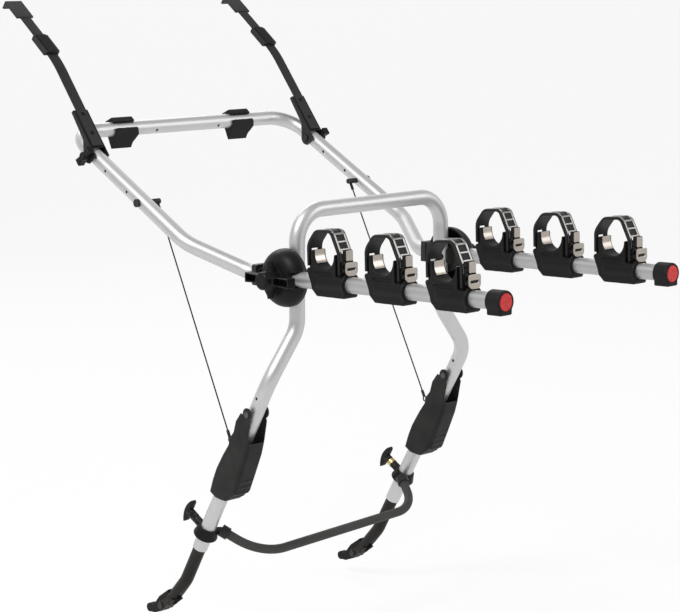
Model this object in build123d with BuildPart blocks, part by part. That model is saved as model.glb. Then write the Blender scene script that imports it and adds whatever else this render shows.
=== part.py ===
from build123d import *
from math import cos, radians, sin, tan
import os

os.makedirs("parts", exist_ok=True)

# A bicycle rack that hooks over a car's boot lid. Millimetres, +Z up, +Y to the car, +X to the right
# for someone behind it. The origin is midway between the two pads that lie on the lid.
# Most pieces come in mirrored pairs: the right one is drawn, the left one is its image.

# Tubes of both frames and the bike arms
tube_r = 15.0
tube_wall = 2.0
hole_r = 3.0
overrun = 60.0          # how far a cut runs past what it cuts
fit_gap = 0.05          # running clearance on a radius
seat_gap = 0.3          # clearance between pieces that only lie beside each other

# Upper frame: two side arms and the crossbar, one bent tube, placed from the hub axis
socket_x = 227.5
socket_start = 58.0
socket_end = 70.0
side_x = 294.0
first_bend_y = 90.0
second_bend_y = 204.0
second_bend_z = 51.6
side_rise = 27.9        # degrees above level, towards the car
side_length = 403.0
first_bend_r = 60.0
second_bend_r = 90.0
corner_r = 60.0
side_hole_ys = (365.0, 432.0)
crossbar_hole_xs = (-85.0, 82.0)
anchor_y = 330.0

# Crossbar pads
pad_xs = (-169.0, 145.0)
pad_width = 52.0
pad_wall = 4.0
pad_front = 9.0
pad_crown = 8.0
pad_reach = 20.5        # from the tube's centre to the face on the lid
pad_face_tilt = 25.0    # degrees that the face looks down
pad_rib_height = 3.5
pad_rib_width = 3.2
pad_rib_pitch = 8.6
pad_ribs = 6
pad_plate_overhang = 10.0
pad_plate_taper = 16.0
pad_slot_depth = 9.0
pad_web = 5.0

# Hubs, in layers from the inside out, as distances from the middle plane
handle_x = 194.0
head_x = 170.0
plate_in_x = 212.0
plate_arm_x = 216.6
plate_out_x = 223.6
cover_in_x = 216.9
cover_out_x = 250.0
knob_in_x = 250.4
knob_out_x = 286.0
axle_end_x = 283.0
axle_r = 6.0
head_r = 10.0
head_height = 6.0
saddle_r = 20.0
inner_saddle_r = 14.0
plate_r = 34.0
plate_rim = 4.0
plate_pocket_depth = 4.0
lug_half_height = 20.0
lug_in_x = 210.0
lug_out_x = 245.5
lug_round = 5.0
cover_r = 55.0
cover_wall = 3.0
cover_side = 8.0
cover_flat_r = 24.0
cover_boss_r = 13.0
cover_ribs = 8
cover_rib_width = 3.0
slot_start = 36.0
slot_wall = 4.0
knob_boss_r = 17.0
knob_wing_reach = 60.0
knob_tip_half = 9.5
knob_wing_half = 7.5
knob_wing_depth = 19.0
knob_fin_reach = 37.0
knob_fin_half = 22.0
knob_fin_waist = 7.0
knob_fin_depth = 15.0
knob_hollow = 3.0

# Bike arms and their ends
arm_x = 226.0
arm_tilt = 2.2          # degrees that the arms rise to the rear
arm_end = 546.0
cap_r = 20.0
cap_length = 32.0
cap_wall = 3.5
cap_lip = 3.0
cap_round = 3.0
cap_edge = 1.5
reflector_r = 15.5
reflector_depth = 2.5
reflector_dome = 1.0

# Cradles, placed by their distance behind the hub
cradle_start = 124.5
cradle_pitch = 150.0
cradles = 3
cradle_width = 33.0
sleeve_r = 19.0
sleeve_front = 20.0
sleeve_rear = 54.0
base_bottom = 24.0
base_front = 36.0
base_deck = 14.0
upright_height = 60.0
upright_wall = 7.0
rear_wall = 3.0
cradle_bore_r = 26.0    # the bicycle tube's seat
cradle_bore_z = 53.0
flange_r = 23.0
flange_width = 5.0
base_slot_width = 22.0
base_slot_depth = 3.0
liner_thick = 1.5
liner_width = 24.0
strap_width = 34.0
strap_thick = 4.6
strap_pin_y = 39.5
strap_pin_z = 22.0
strap_pin_r = 3.0
strap_knuckle_r = 5.5
strap_lift = 3.5
base_heel = 3.0
strap_front_y = 39.7
strap_rear_y = 40.5
strap_top_z = 96.4
strap_window = 18.0
tongue_reach = 15.0
tongue_r = 11.0
tongue_slot = 5.0

# Hooks over the lid, drawn in the bracket's own directions
bracket_back = 77.158   # behind the crossbar
bracket_lean = 51.3     # degrees above level, towards the car
bracket_length = 97.0
bracket_low = 14.5
bracket_wall = 2.0
bracket_gap = 0.6
bracket_depth = 18.5    # from the pivot to the back of the web
bracket_lobe_r = 19.0
bracket_neck = 7.5
bracket_neck_at = 34.0
bracket_notch = 5.5
pivot_r = 4.0
pivot_head_r = 7.0
pivot_head = 4.0
grip_boss_r = 9.0
grip_depth = 16.0
grip_reach = 23.0
grip_half = 8.0
grip_turn = 50.0        # degrees
band_width = 24.0
band_thick = 2.5
band_start = 10.0
band_straight = 190.0
band_bend = 14.4        # degrees
band_bend_r = 220.0
rivet_ats = (40.0, 86.0)
rivet_r = 4.0
rivet_height = 1.6
sleeve_start = 239.0
sleeve_length = 53.0
sleeve_width = 34.0
sleeve_wall = 3.0
hook_neck = 357.0
hook_head_width = 40.0
hook_head_length = 48.0
hook_lip = 15.0
hook_thick = 4.0

# Lower frame: the handle loop and the two legs, one bent tube
handle_top = 121.5
handle_corner_r = 60.0
knee_z = -99.0
hip_z = -193.0
leg_x = 267.0
knee_r = 60.0
hip_r = 70.0
leg_rake = 29.6         # degrees that the legs lean to the car
leg_length = 413.0
leg_hole_z = -224.0

# Tension levers, drawn along the leg from their hinge
lever_at = 73.0         # along the leg from the hip bend
lever_length = 201.0
lever_depth = 46.0
lever_front = 20.0
lever_width = 45.0
lever_wall = 2.6
lever_lobe_r = 13.0
lever_round = 7.0
lever_notch = 50.0
leg_gap = 1.0
lever_ribs = 4
lever_rib_start = 134.0
lever_rib_pitch = 14.0
lever_rib_r = 1.8
lever_pin_r = 3.5
lever_screw_r = 6.0
lever_screw_head = 2.4

# Cables and what holds them
cable_r = 1.5
cable_end_at = 92.0
cable_end_out = 33.0
cable_top_x = 261.0
eye_r = 6.0
eye_wire_r = 2.0
eye_stem_r = 3.0
anchor_r = 4.0
anchor_head_r = 8.0
anchor_head = 5.0
anchor_shank = 24.0
clevis_r = 5.5
ferrule_r = 3.0
ferrule_length = 14.0

# Bumper bar, its collars and clamp knobs
collar_ups = (43.0, 67.0)       # up the leg from its end, left and right
collar_top_r = 19.0
collar_low_r = 25.0
collar_height = 22.0
collar_lip = 2.0
collar_boss_r = 8.5
collar_boss_out = 35.0
collar_lug_width = 9.0
bar_r = 9.0
bar_end_x = 243.0
bar_end_out = 16.0
bar_end_rise = 8.0      # the bar leaves its collar this far above the ring's middle
bar_corner_xs = (195.0, 215.0)
bar_bend_rs = (105.0, 65.0)
bar_bow = 92.0
bar_socket_r = 12.5
bar_socket_wall = 3.0
bar_socket = 14.0
screw_r = 3.2
clamp_stem_r = 7.0
clamp_stem_in = 36.0
clamp_head_at = 61.0
clamp_head_half = 27.0
clamp_head_depth = 9.0
clamp_head_width = 11.0
clamp_head_r = 46.0

# Feet and the plates that hook the lid's lower edge
foot_r = 12.7
foot_in = 110.0
foot_straight = 87.0
foot_run = 75.0
foot_kick = 17.0
foot_bend_r = 80.0
foot_ear_r = 9.5
foot_ear_at = 55.0
hook_bolt_at = 90.0
hook_bolt_out = 25.0
hook_plate_width = 16.0
hook_curl_at = 125.0
hook_curl_out = 56.0
hook_curl_r = 9.0
hook_bolt_r = 3.5
hook_bolt_head_r = 7.0
hook_bolt_head = 3.5

# The hub axis, worked out from the side arm and the pad that it carries
corner_y = second_bend_y + side_length * cos(radians(side_rise))
corner_z = second_bend_z + side_length * sin(radians(side_rise))
bracket_y = corner_y - bracket_back
pad_slide = -pad_wall - pad_web
pad_face_y = corner_y + pad_reach * cos(radians(pad_face_tilt)) + pad_slide * sin(radians(pad_face_tilt))
pad_face_z = corner_z - pad_reach * sin(radians(pad_face_tilt)) + pad_slide * cos(radians(pad_face_tilt))
hub_y = -pad_face_y
hub_z = -pad_face_z

hub = Plane(origin=(0, hub_y, hub_z))
hub_axis = Axis((0, hub_y, hub_z), (1, 0, 0))
hub_section = Plane(origin=(0, hub_y, hub_z), x_dir=(0, 0, 1), z_dir=(0, 1, 0))


def side(x, tilt=0.0, y=0.0, z=0.0):
    """A plane square to X: its x runs to the car, raised by tilt, and its y runs up."""
    run = (0, cos(radians(tilt)), sin(radians(tilt)))
    return Plane(origin=(x, hub_y + y, hub_z + z), x_dir=run, z_dir=(1, 0, 0))


def along(x, tilt, y, z, distance=0.0, out=0.0):
    """A plane square to the downward direction of a side() plane, out along its x."""
    base = side(x, tilt, y, z)
    return Plane(origin=base.from_local_coords((out, -distance, 0)), x_dir=(1, 0, 0), z_dir=-base.y_dir)


def route(points, radii, plane=hub):
    """The centre line of a bent tube, as straight runs joined by arcs."""
    with BuildLine(plane) as line:
        FilletPolyline(*points, radius=radii)
    return line.wires()[0]


def square_to(path):
    """The plane on which a tube's section is drawn, at the start of its route."""
    return Plane(origin=path @ 0, z_dir=path % 0)


def save(piece, label):
    piece.part.label = label
    export_step(piece.part, f"parts/{label}.step")


def save_pair(piece, label):
    """Write the piece as the right one, and its mirror image as the left one."""
    save(piece, f"{label}_right")
    with BuildPart() as image:
        add(mirror(piece.part, about=Plane.YZ))
    save(image, f"{label}_left")


def save_both(piece, label):
    """Write the piece and its mirror image as one group of separate solids."""
    with BuildPart() as group:
        add(piece.part)
        mirror(piece.part, about=Plane.YZ)
    save(group, label)


# Upper frame tube
half_run = [
    (socket_x, socket_start, 0),
    (socket_x, first_bend_y, 0),
    (side_x, second_bend_y, second_bend_z),
    (side_x, corner_y, corner_z),
]
upper_points = half_run + [(-x, y, z) for x, y, z in reversed(half_run)]
upper_radii = [first_bend_r, second_bend_r, corner_r]
upper_path = route(upper_points, upper_radii + upper_radii[::-1])


def on_side_arm(y):
    """The height of the side arm's centre line at y."""
    return second_bend_z + (y - second_bend_y) * tan(radians(side_rise))


anchor_z = on_side_arm(anchor_y)

with BuildPart() as upper_frame_tube:
    # Each straight run and each bend is swept by itself, so that the runs are true cylinders
    for run in upper_path.edges():
        with BuildSketch(square_to(run)):
            Circle(tube_r)
            Circle(tube_r - tube_wall, mode=Mode.SUBTRACT)
        sweep(path=run)
    # Cross holes through both side arms, and the anchor bolts' holes
    with BuildSketch(side(-side_x - overrun)):
        for y in side_hole_ys:
            with Locations((y, on_side_arm(y))):
                Circle(hole_r)
        with Locations((anchor_y, anchor_z)):
            Circle(anchor_r)
        with Locations((bracket_y, on_side_arm(bracket_y))):
            Circle(pivot_r)
    extrude(amount=2 * (side_x + overrun), mode=Mode.SUBTRACT)
    # Holes in the crossbar's rear face
    with BuildSketch(along(0, side_rise + 90, corner_y, corner_z)):
        for x in crossbar_hole_xs:
            with Locations((x, 0)):
                Circle(hole_r)
    extrude(amount=-overrun, mode=Mode.SUBTRACT)
save(upper_frame_tube, "upper_frame_tube")

# Crossbar pads: a clip round the tube, open at its upper rear, over a ribbed wedge
pad_back = -(tube_r + pad_wall)
pad_nose = tube_r + pad_front
pad_top = tube_r + pad_crown
pad_face_angle = -(pad_face_tilt + side_rise)
pad_floor = pad_reach - pad_rib_height
pad_rib_root = pad_rib_height + pad_wall / 2


def pad_face_height(a):
    """The height of the ribs' root line, in the side arm's directions, at a along it."""
    turn = radians(pad_face_angle)
    return (pad_floor - a * cos(turn)) / sin(turn)


def crossbar_pad(centre_x):
    pad_plane = side(centre_x - pad_width / 2, side_rise, corner_y, corner_z)
    with BuildPart() as pad:
        with BuildSketch(pad_plane):
            with BuildLine():
                Polyline(
                    (pad_back, tube_r),
                    (pad_back, pad_face_height(pad_back)),
                    (pad_nose, pad_face_height(pad_nose)),
                    (pad_nose, pad_wall),
                    (pad_front, pad_top),
                    (-pad_wall, pad_top - pad_wall / 2),
                    close=True,
                )
            make_face()
            Circle(tube_r + fit_gap, mode=Mode.SUBTRACT)
            # The clip's mouth
            with BuildLine():
                Polyline(
                    (0, 0),
                    (-pad_wall * overrun / tube_r, pad_top * overrun / tube_r),
                    (pad_back * overrun / tube_r, tube_r * overrun / tube_r),
                    close=True,
                )
            make_face(mode=Mode.SUBTRACT)
        extrude(amount=pad_width)
        # The back plate runs past the clip and is cut back on a slant
        plate_low = pad_face_height(pad_back)
        with BuildSketch(Plane(origin=pad_plane.from_local_coords((pad_back, 0, 0)), x_dir=(1, 0, 0),
                               z_dir=pad_plane.x_dir)):
            with BuildLine():
                Polyline(
                    (pad_width / 2, -tube_r + pad_wall),
                    (pad_width + pad_plate_overhang / 3, -tube_r + pad_wall),
                    (pad_width + pad_plate_overhang, pad_wall),
                    (pad_width + pad_plate_overhang - pad_plate_taper, -plate_low),
                    (pad_width / 2, -plate_low),
                    close=True,
                )
            make_face()
        extrude(amount=pad_wall - fit_gap)
        # Slots up into the wedge from the face leave a web between the ribs
        face_plane = side(centre_x, -pad_face_tilt, corner_y, corner_z)
        with BuildSketch(face_plane):
            for rib in range(pad_ribs):
                along_face = pad_slide + (rib - (pad_ribs - 1) / 2) * pad_rib_pitch
                with Locations((pad_reach - pad_rib_root / 2, along_face)):
                    RectangleRounded(pad_rib_root, pad_rib_width, pad_rib_width / 4)
        extrude(amount=pad_width / 2 - pad_rib_width, both=True)
        with BuildSketch(side(centre_x, side_rise, corner_y, corner_z)):
            with BuildLine():
                Polyline(
                    (pad_back + pad_web, pad_face_height(pad_back + pad_web) + pad_web),
                    (pad_back + pad_web, -pad_slot_depth),
                    (-pad_front, -tube_r),
                    (-pad_web / 2, pad_face_height(-pad_web / 2) + pad_web),
                    close=True,
                )
            make_face()
        extrude(amount=pad_width / 2 - pad_web, both=True, mode=Mode.SUBTRACT)
    return pad


for centre_x, label in zip(pad_xs, ("left", "right")):
    save(crossbar_pad(centre_x), f"crossbar_pad_{label}")

# Hub plate: a disc on the axle, an arm behind the cover's rim, and the socket of the side arm
with BuildPart() as hub_plate:
    with BuildSketch(side(plate_in_x)):
        Circle(plate_r)
        with Locations((socket_end / 2, 0)):
            Rectangle(socket_end, 2 * lug_half_height)
    extrude(amount=plate_arm_x - plate_in_x)
    with BuildSketch(side(plate_in_x)):
        Circle(plate_r)
    extrude(amount=plate_out_x - plate_in_x)
    with BuildSketch(side(lug_in_x)):
        with Locations(((socket_start + socket_end) / 2, 0)):
            Rectangle(socket_end - socket_start, 2 * lug_half_height)
    extrude(amount=lug_out_x - lug_in_x)
    fillet(hub_plate.edges().filter_by(Axis.Y).group_by(Axis.X)[-1], lug_round)
    with BuildSketch(Plane(origin=(socket_x, hub_y + socket_start, hub_z), z_dir=(0, 1, 0))):
        Circle(tube_r + fit_gap)
    extrude(amount=overrun, mode=Mode.SUBTRACT)
    with BuildSketch(side(plate_in_x)):
        Circle(axle_r + fit_gap)
    extrude(amount=overrun, mode=Mode.SUBTRACT)
    # A ring of pockets in the disc's outer face
    with BuildSketch(side(plate_out_x)):
        with PolarLocations((plate_r + axle_r) / 2, cover_ribs):
            Circle((plate_r - axle_r) / 2 - plate_rim)
    extrude(amount=-plate_pocket_depth, mode=Mode.SUBTRACT)
save_pair(hub_plate, "hub_plate")

# Lower frame tube
hip_drop = leg_length * cos(radians(leg_rake))
leg_end_y = leg_length * sin(radians(leg_rake))
leg_end_z = hip_z - hip_drop
half_loop = [
    (leg_x, leg_end_y, leg_end_z),
    (leg_x, 0, hip_z),
    (handle_x, 0, knee_z),
    (handle_x, 0, handle_top),
]
lower_points = half_loop + [(-x, y, z) for x, y, z in reversed(half_loop)]
lower_radii = [hip_r, knee_r, handle_corner_r]
lower_path = route(lower_points, lower_radii + lower_radii[::-1])


def leg(distance, out=0.0, x=leg_x):
    """A plane square to X on the leg: its x leaves the leg to the car, its y runs up the leg."""
    y = distance * sin(radians(leg_rake)) + out * cos(radians(leg_rake))
    z = hip_z - distance * cos(radians(leg_rake)) + out * sin(radians(leg_rake))
    return side(x, leg_rake, y, z)


def down_leg(distance):
    """A plane square to the leg, facing down it."""
    base = leg(distance)
    return Plane(origin=base.origin, x_dir=(1, 0, 0), z_dir=-base.y_dir)


leg_hole_at = (hip_z - leg_hole_z) / cos(radians(leg_rake))

with BuildPart() as lower_frame_tube:
    for run in lower_path.edges():
        with BuildSketch(square_to(run)):
            Circle(tube_r)
            Circle(tube_r - tube_wall, mode=Mode.SUBTRACT)
        sweep(path=run)
    with BuildSketch(side(-leg_x - overrun)):
        Circle(axle_r)
        with Locations((leg_hole_at * sin(radians(leg_rake)), leg_hole_z)):
            Circle(hole_r)
    extrude(amount=2 * (leg_x + overrun), mode=Mode.SUBTRACT)
    with BuildSketch(leg(lever_at, x=-leg_x - overrun)):
        Circle(lever_pin_r)
    extrude(amount=2 * (leg_x + overrun), mode=Mode.SUBTRACT)
save(lower_frame_tube, "lower_frame_tube")

# Hub axles: a bolt whose head lies inside the loop, with a threaded end for the wing knob
with BuildPart() as hub_axle:
    with BuildSketch(side(head_x)):
        RegularPolygon(head_r, 6)
    extrude(amount=head_height)
    with BuildSketch(side(head_x)):
        Circle(axle_r)
    extrude(amount=axle_end_x - head_x)
save_both(hub_axle, "hub_axles")

# Saddle washers take the round tube to the flat head and the flat hub plate
with BuildPart() as hub_saddle:
    with BuildSketch(side(handle_x)):
        Circle(saddle_r)
    extrude(amount=plate_in_x - fit_gap - handle_x)
    with BuildSketch(side(head_x + head_height + fit_gap)):
        Circle(inner_saddle_r)
    extrude(amount=handle_x - head_x - head_height - fit_gap)
    with BuildSketch(side(head_x)):
        Circle(axle_r + fit_gap)
    extrude(amount=overrun, mode=Mode.SUBTRACT)
    with BuildSketch(Plane(origin=(handle_x, hub_y, hub_z - overrun))):
        Circle(tube_r + fit_gap)
    extrude(amount=2 * overrun, mode=Mode.SUBTRACT)
save_both(hub_saddle, "hub_saddles")


def up_arm(distance):
    """A plane square to the right bike arm, facing its rear end."""
    base = side(arm_x, -arm_tilt)
    return Plane(origin=base.from_local_coords((-distance, 0, 0)), x_dir=(1, 0, 0), z_dir=-base.x_dir)


# Bike arm tube
with BuildPart() as bike_arm_tube:
    with BuildSketch(up_arm(slot_start)):
        Circle(tube_r)
        Circle(tube_r - tube_wall, mode=Mode.SUBTRACT)
    extrude(amount=arm_end - slot_start)
save_pair(bike_arm_tube, "bike_arm_tube")

# Hub cover: a domed shell, open to the inside, with a slot that the bike arm leaves by
cover_rise = cover_out_x - cover_in_x - cover_side
with BuildPart() as hub_cover:
    with BuildSketch(hub_section):
        with BuildLine():
            Line((0, cover_in_x), (cover_r, cover_in_x))
            Line((cover_r, cover_in_x), (cover_r, cover_in_x + cover_side))
            ThreePointArc(
                (cover_r, cover_in_x + cover_side),
                (cover_flat_r + (cover_r - cover_flat_r) * sin(radians(45)),
                 cover_out_x - cover_rise * (1 - cos(radians(45)))),
                (cover_flat_r, cover_out_x),
            )
            Line((cover_flat_r, cover_out_x), (0, cover_out_x))
            Line((0, cover_out_x), (0, cover_in_x))
        make_face()
    revolve(axis=hub_axis)
    with BuildSketch(hub_section):
        with BuildLine():
            hollow_r = cover_r - cover_wall
            hollow_top = cover_out_x - cover_wall
            Line((0, cover_in_x), (hollow_r, cover_in_x))
            Line((hollow_r, cover_in_x), (hollow_r, cover_in_x + cover_side))
            ThreePointArc(
                (hollow_r, cover_in_x + cover_side),
                (cover_flat_r + (hollow_r - cover_flat_r) * sin(radians(45)),
                 hollow_top - (cover_rise - cover_wall) * (1 - cos(radians(45)))),
                (cover_flat_r, hollow_top),
            )
            Line((cover_flat_r, hollow_top), (0, hollow_top))
            Line((0, hollow_top), (0, cover_in_x))
        make_face()
    revolve(axis=hub_axis, mode=Mode.SUBTRACT)
    # Boss on the axle, ribs out to the shell, and the walls that hold the bike arm
    rib_start_x = plate_out_x + seat_gap
    with BuildSketch(side(rib_start_x)):
        Circle(cover_boss_r)
        with PolarLocations(0, cover_ribs, start_angle=180 / cover_ribs):
            with Locations(((cover_boss_r + plate_r) / 2, 0)):
                Rectangle(plate_r - cover_boss_r + cover_wall, cover_rib_width)
        with Locations((-slot_start + slot_wall / 2, 0)):
            Rectangle(slot_wall, 2 * (tube_r + slot_wall))
    extrude(amount=cover_out_x - rib_start_x - cover_wall / 2)
    with BuildSketch(side(cover_in_x, -arm_tilt)):
        wall_length = hollow_r * cos(radians(25)) - slot_start
        for height in (tube_r + slot_wall / 2, -tube_r - slot_wall / 2):
            with Locations((-slot_start - wall_length / 2, height)):
                Rectangle(wall_length, slot_wall)
    extrude(amount=cover_side + cover_rise / 2)
    with BuildSketch(side(cover_in_x - cover_wall, -arm_tilt)):
        with Locations((-slot_start - overrun / 2, 0)):
            Rectangle(overrun, 2 * (tube_r + fit_gap))
    extrude(amount=overrun, mode=Mode.SUBTRACT)
    with BuildSketch(side(cover_in_x)):
        Circle(axle_r + fit_gap)
    extrude(amount=overrun, mode=Mode.SUBTRACT)
save_pair(hub_cover, "hub_cover")

# Wing knob: two long hollow wings, two pointed fins and a boss threaded on the axle
with BuildPart() as hub_knob:
    with BuildSketch(side(knob_in_x)):
        Circle(knob_boss_r)
    extrude(amount=knob_out_x - knob_in_x)
    chamfer(hub_knob.edges().group_by(Axis.X)[-1], knob_hollow)
    with BuildSketch(side(knob_in_x + knob_hollow)):
        with BuildLine():
            for sign in (-1, 1):
                Line(
                    (sign * knob_wing_reach, -sign * knob_tip_half),
                    (sign * knob_wing_reach, sign * knob_tip_half),
                )
                ThreePointArc(
                    (sign * knob_wing_reach, sign * knob_tip_half),
                    (0, sign * knob_wing_half),
                    (-sign * knob_wing_reach, sign * knob_tip_half),
                )
        make_face()
    extrude(amount=knob_wing_depth)
    # The fins have hollow flanks and sharp tips
    with BuildSketch(side(knob_in_x + knob_hollow)):
        with BuildLine():
            for sign in (-1, 1):
                for turn in (-1, 1):
                    ThreePointArc(
                        (turn * knob_fin_half, 0),
                        (turn * knob_fin_waist, sign * knob_fin_reach / 2),
                        (0, sign * knob_fin_reach),
                    )
        make_face()
    extrude(amount=knob_fin_depth)
    # The wings are hollow from the outside, as a moulded handle is
    with BuildSketch(side(knob_in_x + knob_hollow + knob_wing_depth)):
        for sign in (-1, 1):
            with Locations((sign * (knob_wing_reach + knob_boss_r) / 2, 0)):
                Rectangle(knob_wing_reach - knob_boss_r - 2 * knob_hollow, 2 * (knob_tip_half - knob_hollow))
    extrude(amount=-knob_wing_depth + knob_hollow, mode=Mode.SUBTRACT)
    with BuildSketch(side(knob_in_x)):
        Circle(axle_r + fit_gap)
    extrude(amount=axle_end_x - knob_in_x + seat_gap, mode=Mode.SUBTRACT)
save_pair(hub_knob, "hub_knob")

# Arm cap, with a recess for the reflector
cap_start = arm_end + cap_wall + reflector_depth - cap_length
with BuildPart() as arm_cap:
    with BuildSketch(up_arm(cap_start)):
        Circle(cap_r)
        with Locations((0, -cap_r / 2 - cap_lip / 2)):
            RectangleRounded(2 * tube_r, cap_r + cap_lip, cap_round)
    extrude(amount=cap_length)
    chamfer(arm_cap.faces().sort_by(Axis.Y)[0].edges(), cap_edge)
    with BuildSketch(up_arm(cap_start)):
        Circle(tube_r + fit_gap)
    extrude(amount=arm_end + fit_gap - cap_start, mode=Mode.SUBTRACT)
    with BuildSketch(up_arm(arm_end + cap_wall)):
        Circle(reflector_r + fit_gap)
    extrude(amount=overrun, mode=Mode.SUBTRACT)
save_pair(arm_cap, "arm_cap")

with BuildPart() as reflector:
    with BuildSketch(up_arm(arm_end + cap_wall + fit_gap)):
        Circle(reflector_r)
    extrude(amount=reflector_depth)
    chamfer(reflector.edges().group_by(Axis.Y)[0], reflector_dome)
save_pair(reflector, "reflector")

# Cradles
def cradle_plane(index, x=arm_x):
    """A plane square to X on the bike arm at a cradle, its x towards the hub."""
    base = side(x, -arm_tilt)
    place = base.from_local_coords((-(cradle_start + index * cradle_pitch), 0, 0))
    return Plane(origin=place, x_dir=base.x_dir, z_dir=(1, 0, 0))


def square_to_arm(index, forward):
    base = cradle_plane(index)
    return Plane(origin=base.from_local_coords((forward, 0, 0)), x_dir=(1, 0, 0), z_dir=-base.x_dir)


upright_in = cradle_bore_r + liner_thick
upright_out = upright_in + upright_wall - liner_thick
# The rear upright stays inside the arc that the strap's rear end swings on
rear_height = cradle_bore_z + liner_thick
rear_out = upright_in + rear_wall


def cradle_base(index):
    """The moulded base: a sleeve on the arm, a deck, and two uprights round the bicycle's tube."""
    with BuildPart() as base:
        with BuildSketch(cradle_plane(index)):
            with BuildLine():
                Polyline(
                    (sleeve_front, -base_bottom),
                    (upright_out, -base_bottom / 2),
                    (base_front, 0),
                    (base_front, base_deck),
                    (upright_out, strap_pin_z + strap_knuckle_r),
                    (upright_out, upright_height),
                    (upright_in, upright_height),
                    (upright_in, cradle_bore_z),
                )
                ThreePointArc(
                    (upright_in, cradle_bore_z), (0, cradle_bore_z - upright_in), (-upright_in, cradle_bore_z)
                )
                Polyline(
                    (-upright_in, cradle_bore_z),
                    (-upright_in, rear_height),
                    (-rear_out, rear_height),
                    (-rear_out, base_deck),
                    (-sleeve_rear, base_deck),
                    (-sleeve_rear, -base_bottom + base_heel),
                    (-sleeve_rear + base_heel, -base_bottom),
                    (sleeve_front, -base_bottom),
                )
            make_face()
        extrude(amount=cradle_width / 2, both=True)
        with BuildSketch(square_to_arm(index, sleeve_front)):
            Circle(sleeve_r)
        extrude(amount=sleeve_front + sleeve_rear)
        with BuildSketch(square_to_arm(index, -sleeve_rear + flange_width)):
            Circle(flange_r)
        extrude(amount=flange_width)
        # Side recesses leave a web in the middle of each upright
        with BuildSketch(cradle_plane(index, arm_x + cradle_width / 2)):
            with Locations((0, (base_deck + sleeve_r) / 2 + liner_thick)):
                RectangleRounded(2 * upright_in - upright_wall, base_deck / 2, base_deck / 6)
        extrude(amount=-base_slot_depth, mode=Mode.SUBTRACT)
        with BuildSketch(cradle_plane(index, arm_x - cradle_width / 2)):
            with Locations((0, (base_deck + sleeve_r) / 2 + liner_thick)):
                RectangleRounded(2 * upright_in - upright_wall, base_deck / 2, base_deck / 6)
        extrude(amount=base_slot_depth, mode=Mode.SUBTRACT)
        # Ears of the strap's hinge, either side of its knuckle
        with BuildSketch(cradle_plane(index)):
            with Locations((strap_pin_y, strap_pin_z)):
                Circle(strap_knuckle_r)
            with BuildLine():
                Polyline(
                    (strap_pin_y + strap_knuckle_r, strap_pin_z),
                    (base_front, 0),
                    (upright_out - liner_thick, 0),
                    (upright_out - liner_thick, strap_pin_z + strap_knuckle_r),
                    (strap_pin_y, strap_pin_z + strap_knuckle_r),
                    close=True,
                )
            make_face()
        extrude(amount=cradle_width / 2, both=True)
        with BuildSketch(cradle_plane(index)):
            with Locations((strap_pin_y, strap_pin_z)):
                Circle(strap_knuckle_r + seat_gap)
            with Locations((strap_pin_y, strap_pin_z + overrun / 2)):
                Rectangle(2 * (strap_knuckle_r + seat_gap), overrun)
        extrude(amount=base_slot_width / 2 + seat_gap, both=True, mode=Mode.SUBTRACT)
        with BuildSketch(cradle_plane(index)):
            with Locations((strap_pin_y, strap_pin_z)):
                Circle(strap_pin_r + fit_gap)
        extrude(amount=cradle_width, both=True, mode=Mode.SUBTRACT)
        with BuildSketch(square_to_arm(index, base_front + overrun)):
            Circle(tube_r + fit_gap)
        extrude(amount=base_front + sleeve_rear + 2 * overrun, mode=Mode.SUBTRACT)
    return base


for index in range(cradles):
    save_pair(cradle_base(index), f"cradle_base_{index + 1}")


def upright_liner(index, sign, top):
    """A thin metal plate on an upright's inner face, where the bicycle's tube bears."""
    with BuildPart() as liner:
        with BuildSketch(cradle_plane(index)):
            with BuildLine():
                Line((sign * upright_in, top), (sign * upright_in, cradle_bore_z))
                ThreePointArc(
                    (sign * upright_in, cradle_bore_z),
                    (sign * upright_in * cos(radians(20)), cradle_bore_z - upright_in * sin(radians(20))),
                    (sign * upright_in * cos(radians(40)), cradle_bore_z - upright_in * sin(radians(40))),
                )
                Line(
                    (sign * upright_in * cos(radians(40)), cradle_bore_z - upright_in * sin(radians(40))),
                    (sign * cradle_bore_r * cos(radians(40)), cradle_bore_z - cradle_bore_r * sin(radians(40))),
                )
                ThreePointArc(
                    (sign * cradle_bore_r * cos(radians(40)), cradle_bore_z - cradle_bore_r * sin(radians(40))),
                    (sign * cradle_bore_r * cos(radians(20)), cradle_bore_z - cradle_bore_r * sin(radians(20))),
                    (sign * cradle_bore_r, cradle_bore_z),
                )
                Line((sign * cradle_bore_r, cradle_bore_z), (sign * cradle_bore_r, top))
                Line((sign * cradle_bore_r, top), (sign * upright_in, top))
            make_face()
        extrude(amount=liner_width / 2, both=True)
    return liner


with BuildPart() as cradle_liners:
    for index in range(cradles):
        for sign, top in ((-1, rear_height), (1, upright_height)):
            add(upright_liner(index, sign, top).part)
save_pair(cradle_liners, "cradle_liners")

# Strap loops: hinged at the front, over the bicycle's tube, with a buckle tongue at the rear
strap_start_z = strap_pin_z + strap_knuckle_r + strap_lift
tongue_low = flange_r + seat_gap
strap_points = [
    (strap_front_y, strap_start_z),
    (strap_front_y, strap_top_z - cradle_bore_r),
    (strap_front_y / 2, strap_top_z - strap_thick / 2),
    (-strap_rear_y / 2, strap_top_z),
    (-strap_rear_y, rear_height),
    (-strap_rear_y, sleeve_r + seat_gap),
]
strap_radii = [cradle_bore_r, cradle_bore_r / 2, cradle_bore_r / 2, cradle_bore_r]


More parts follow.
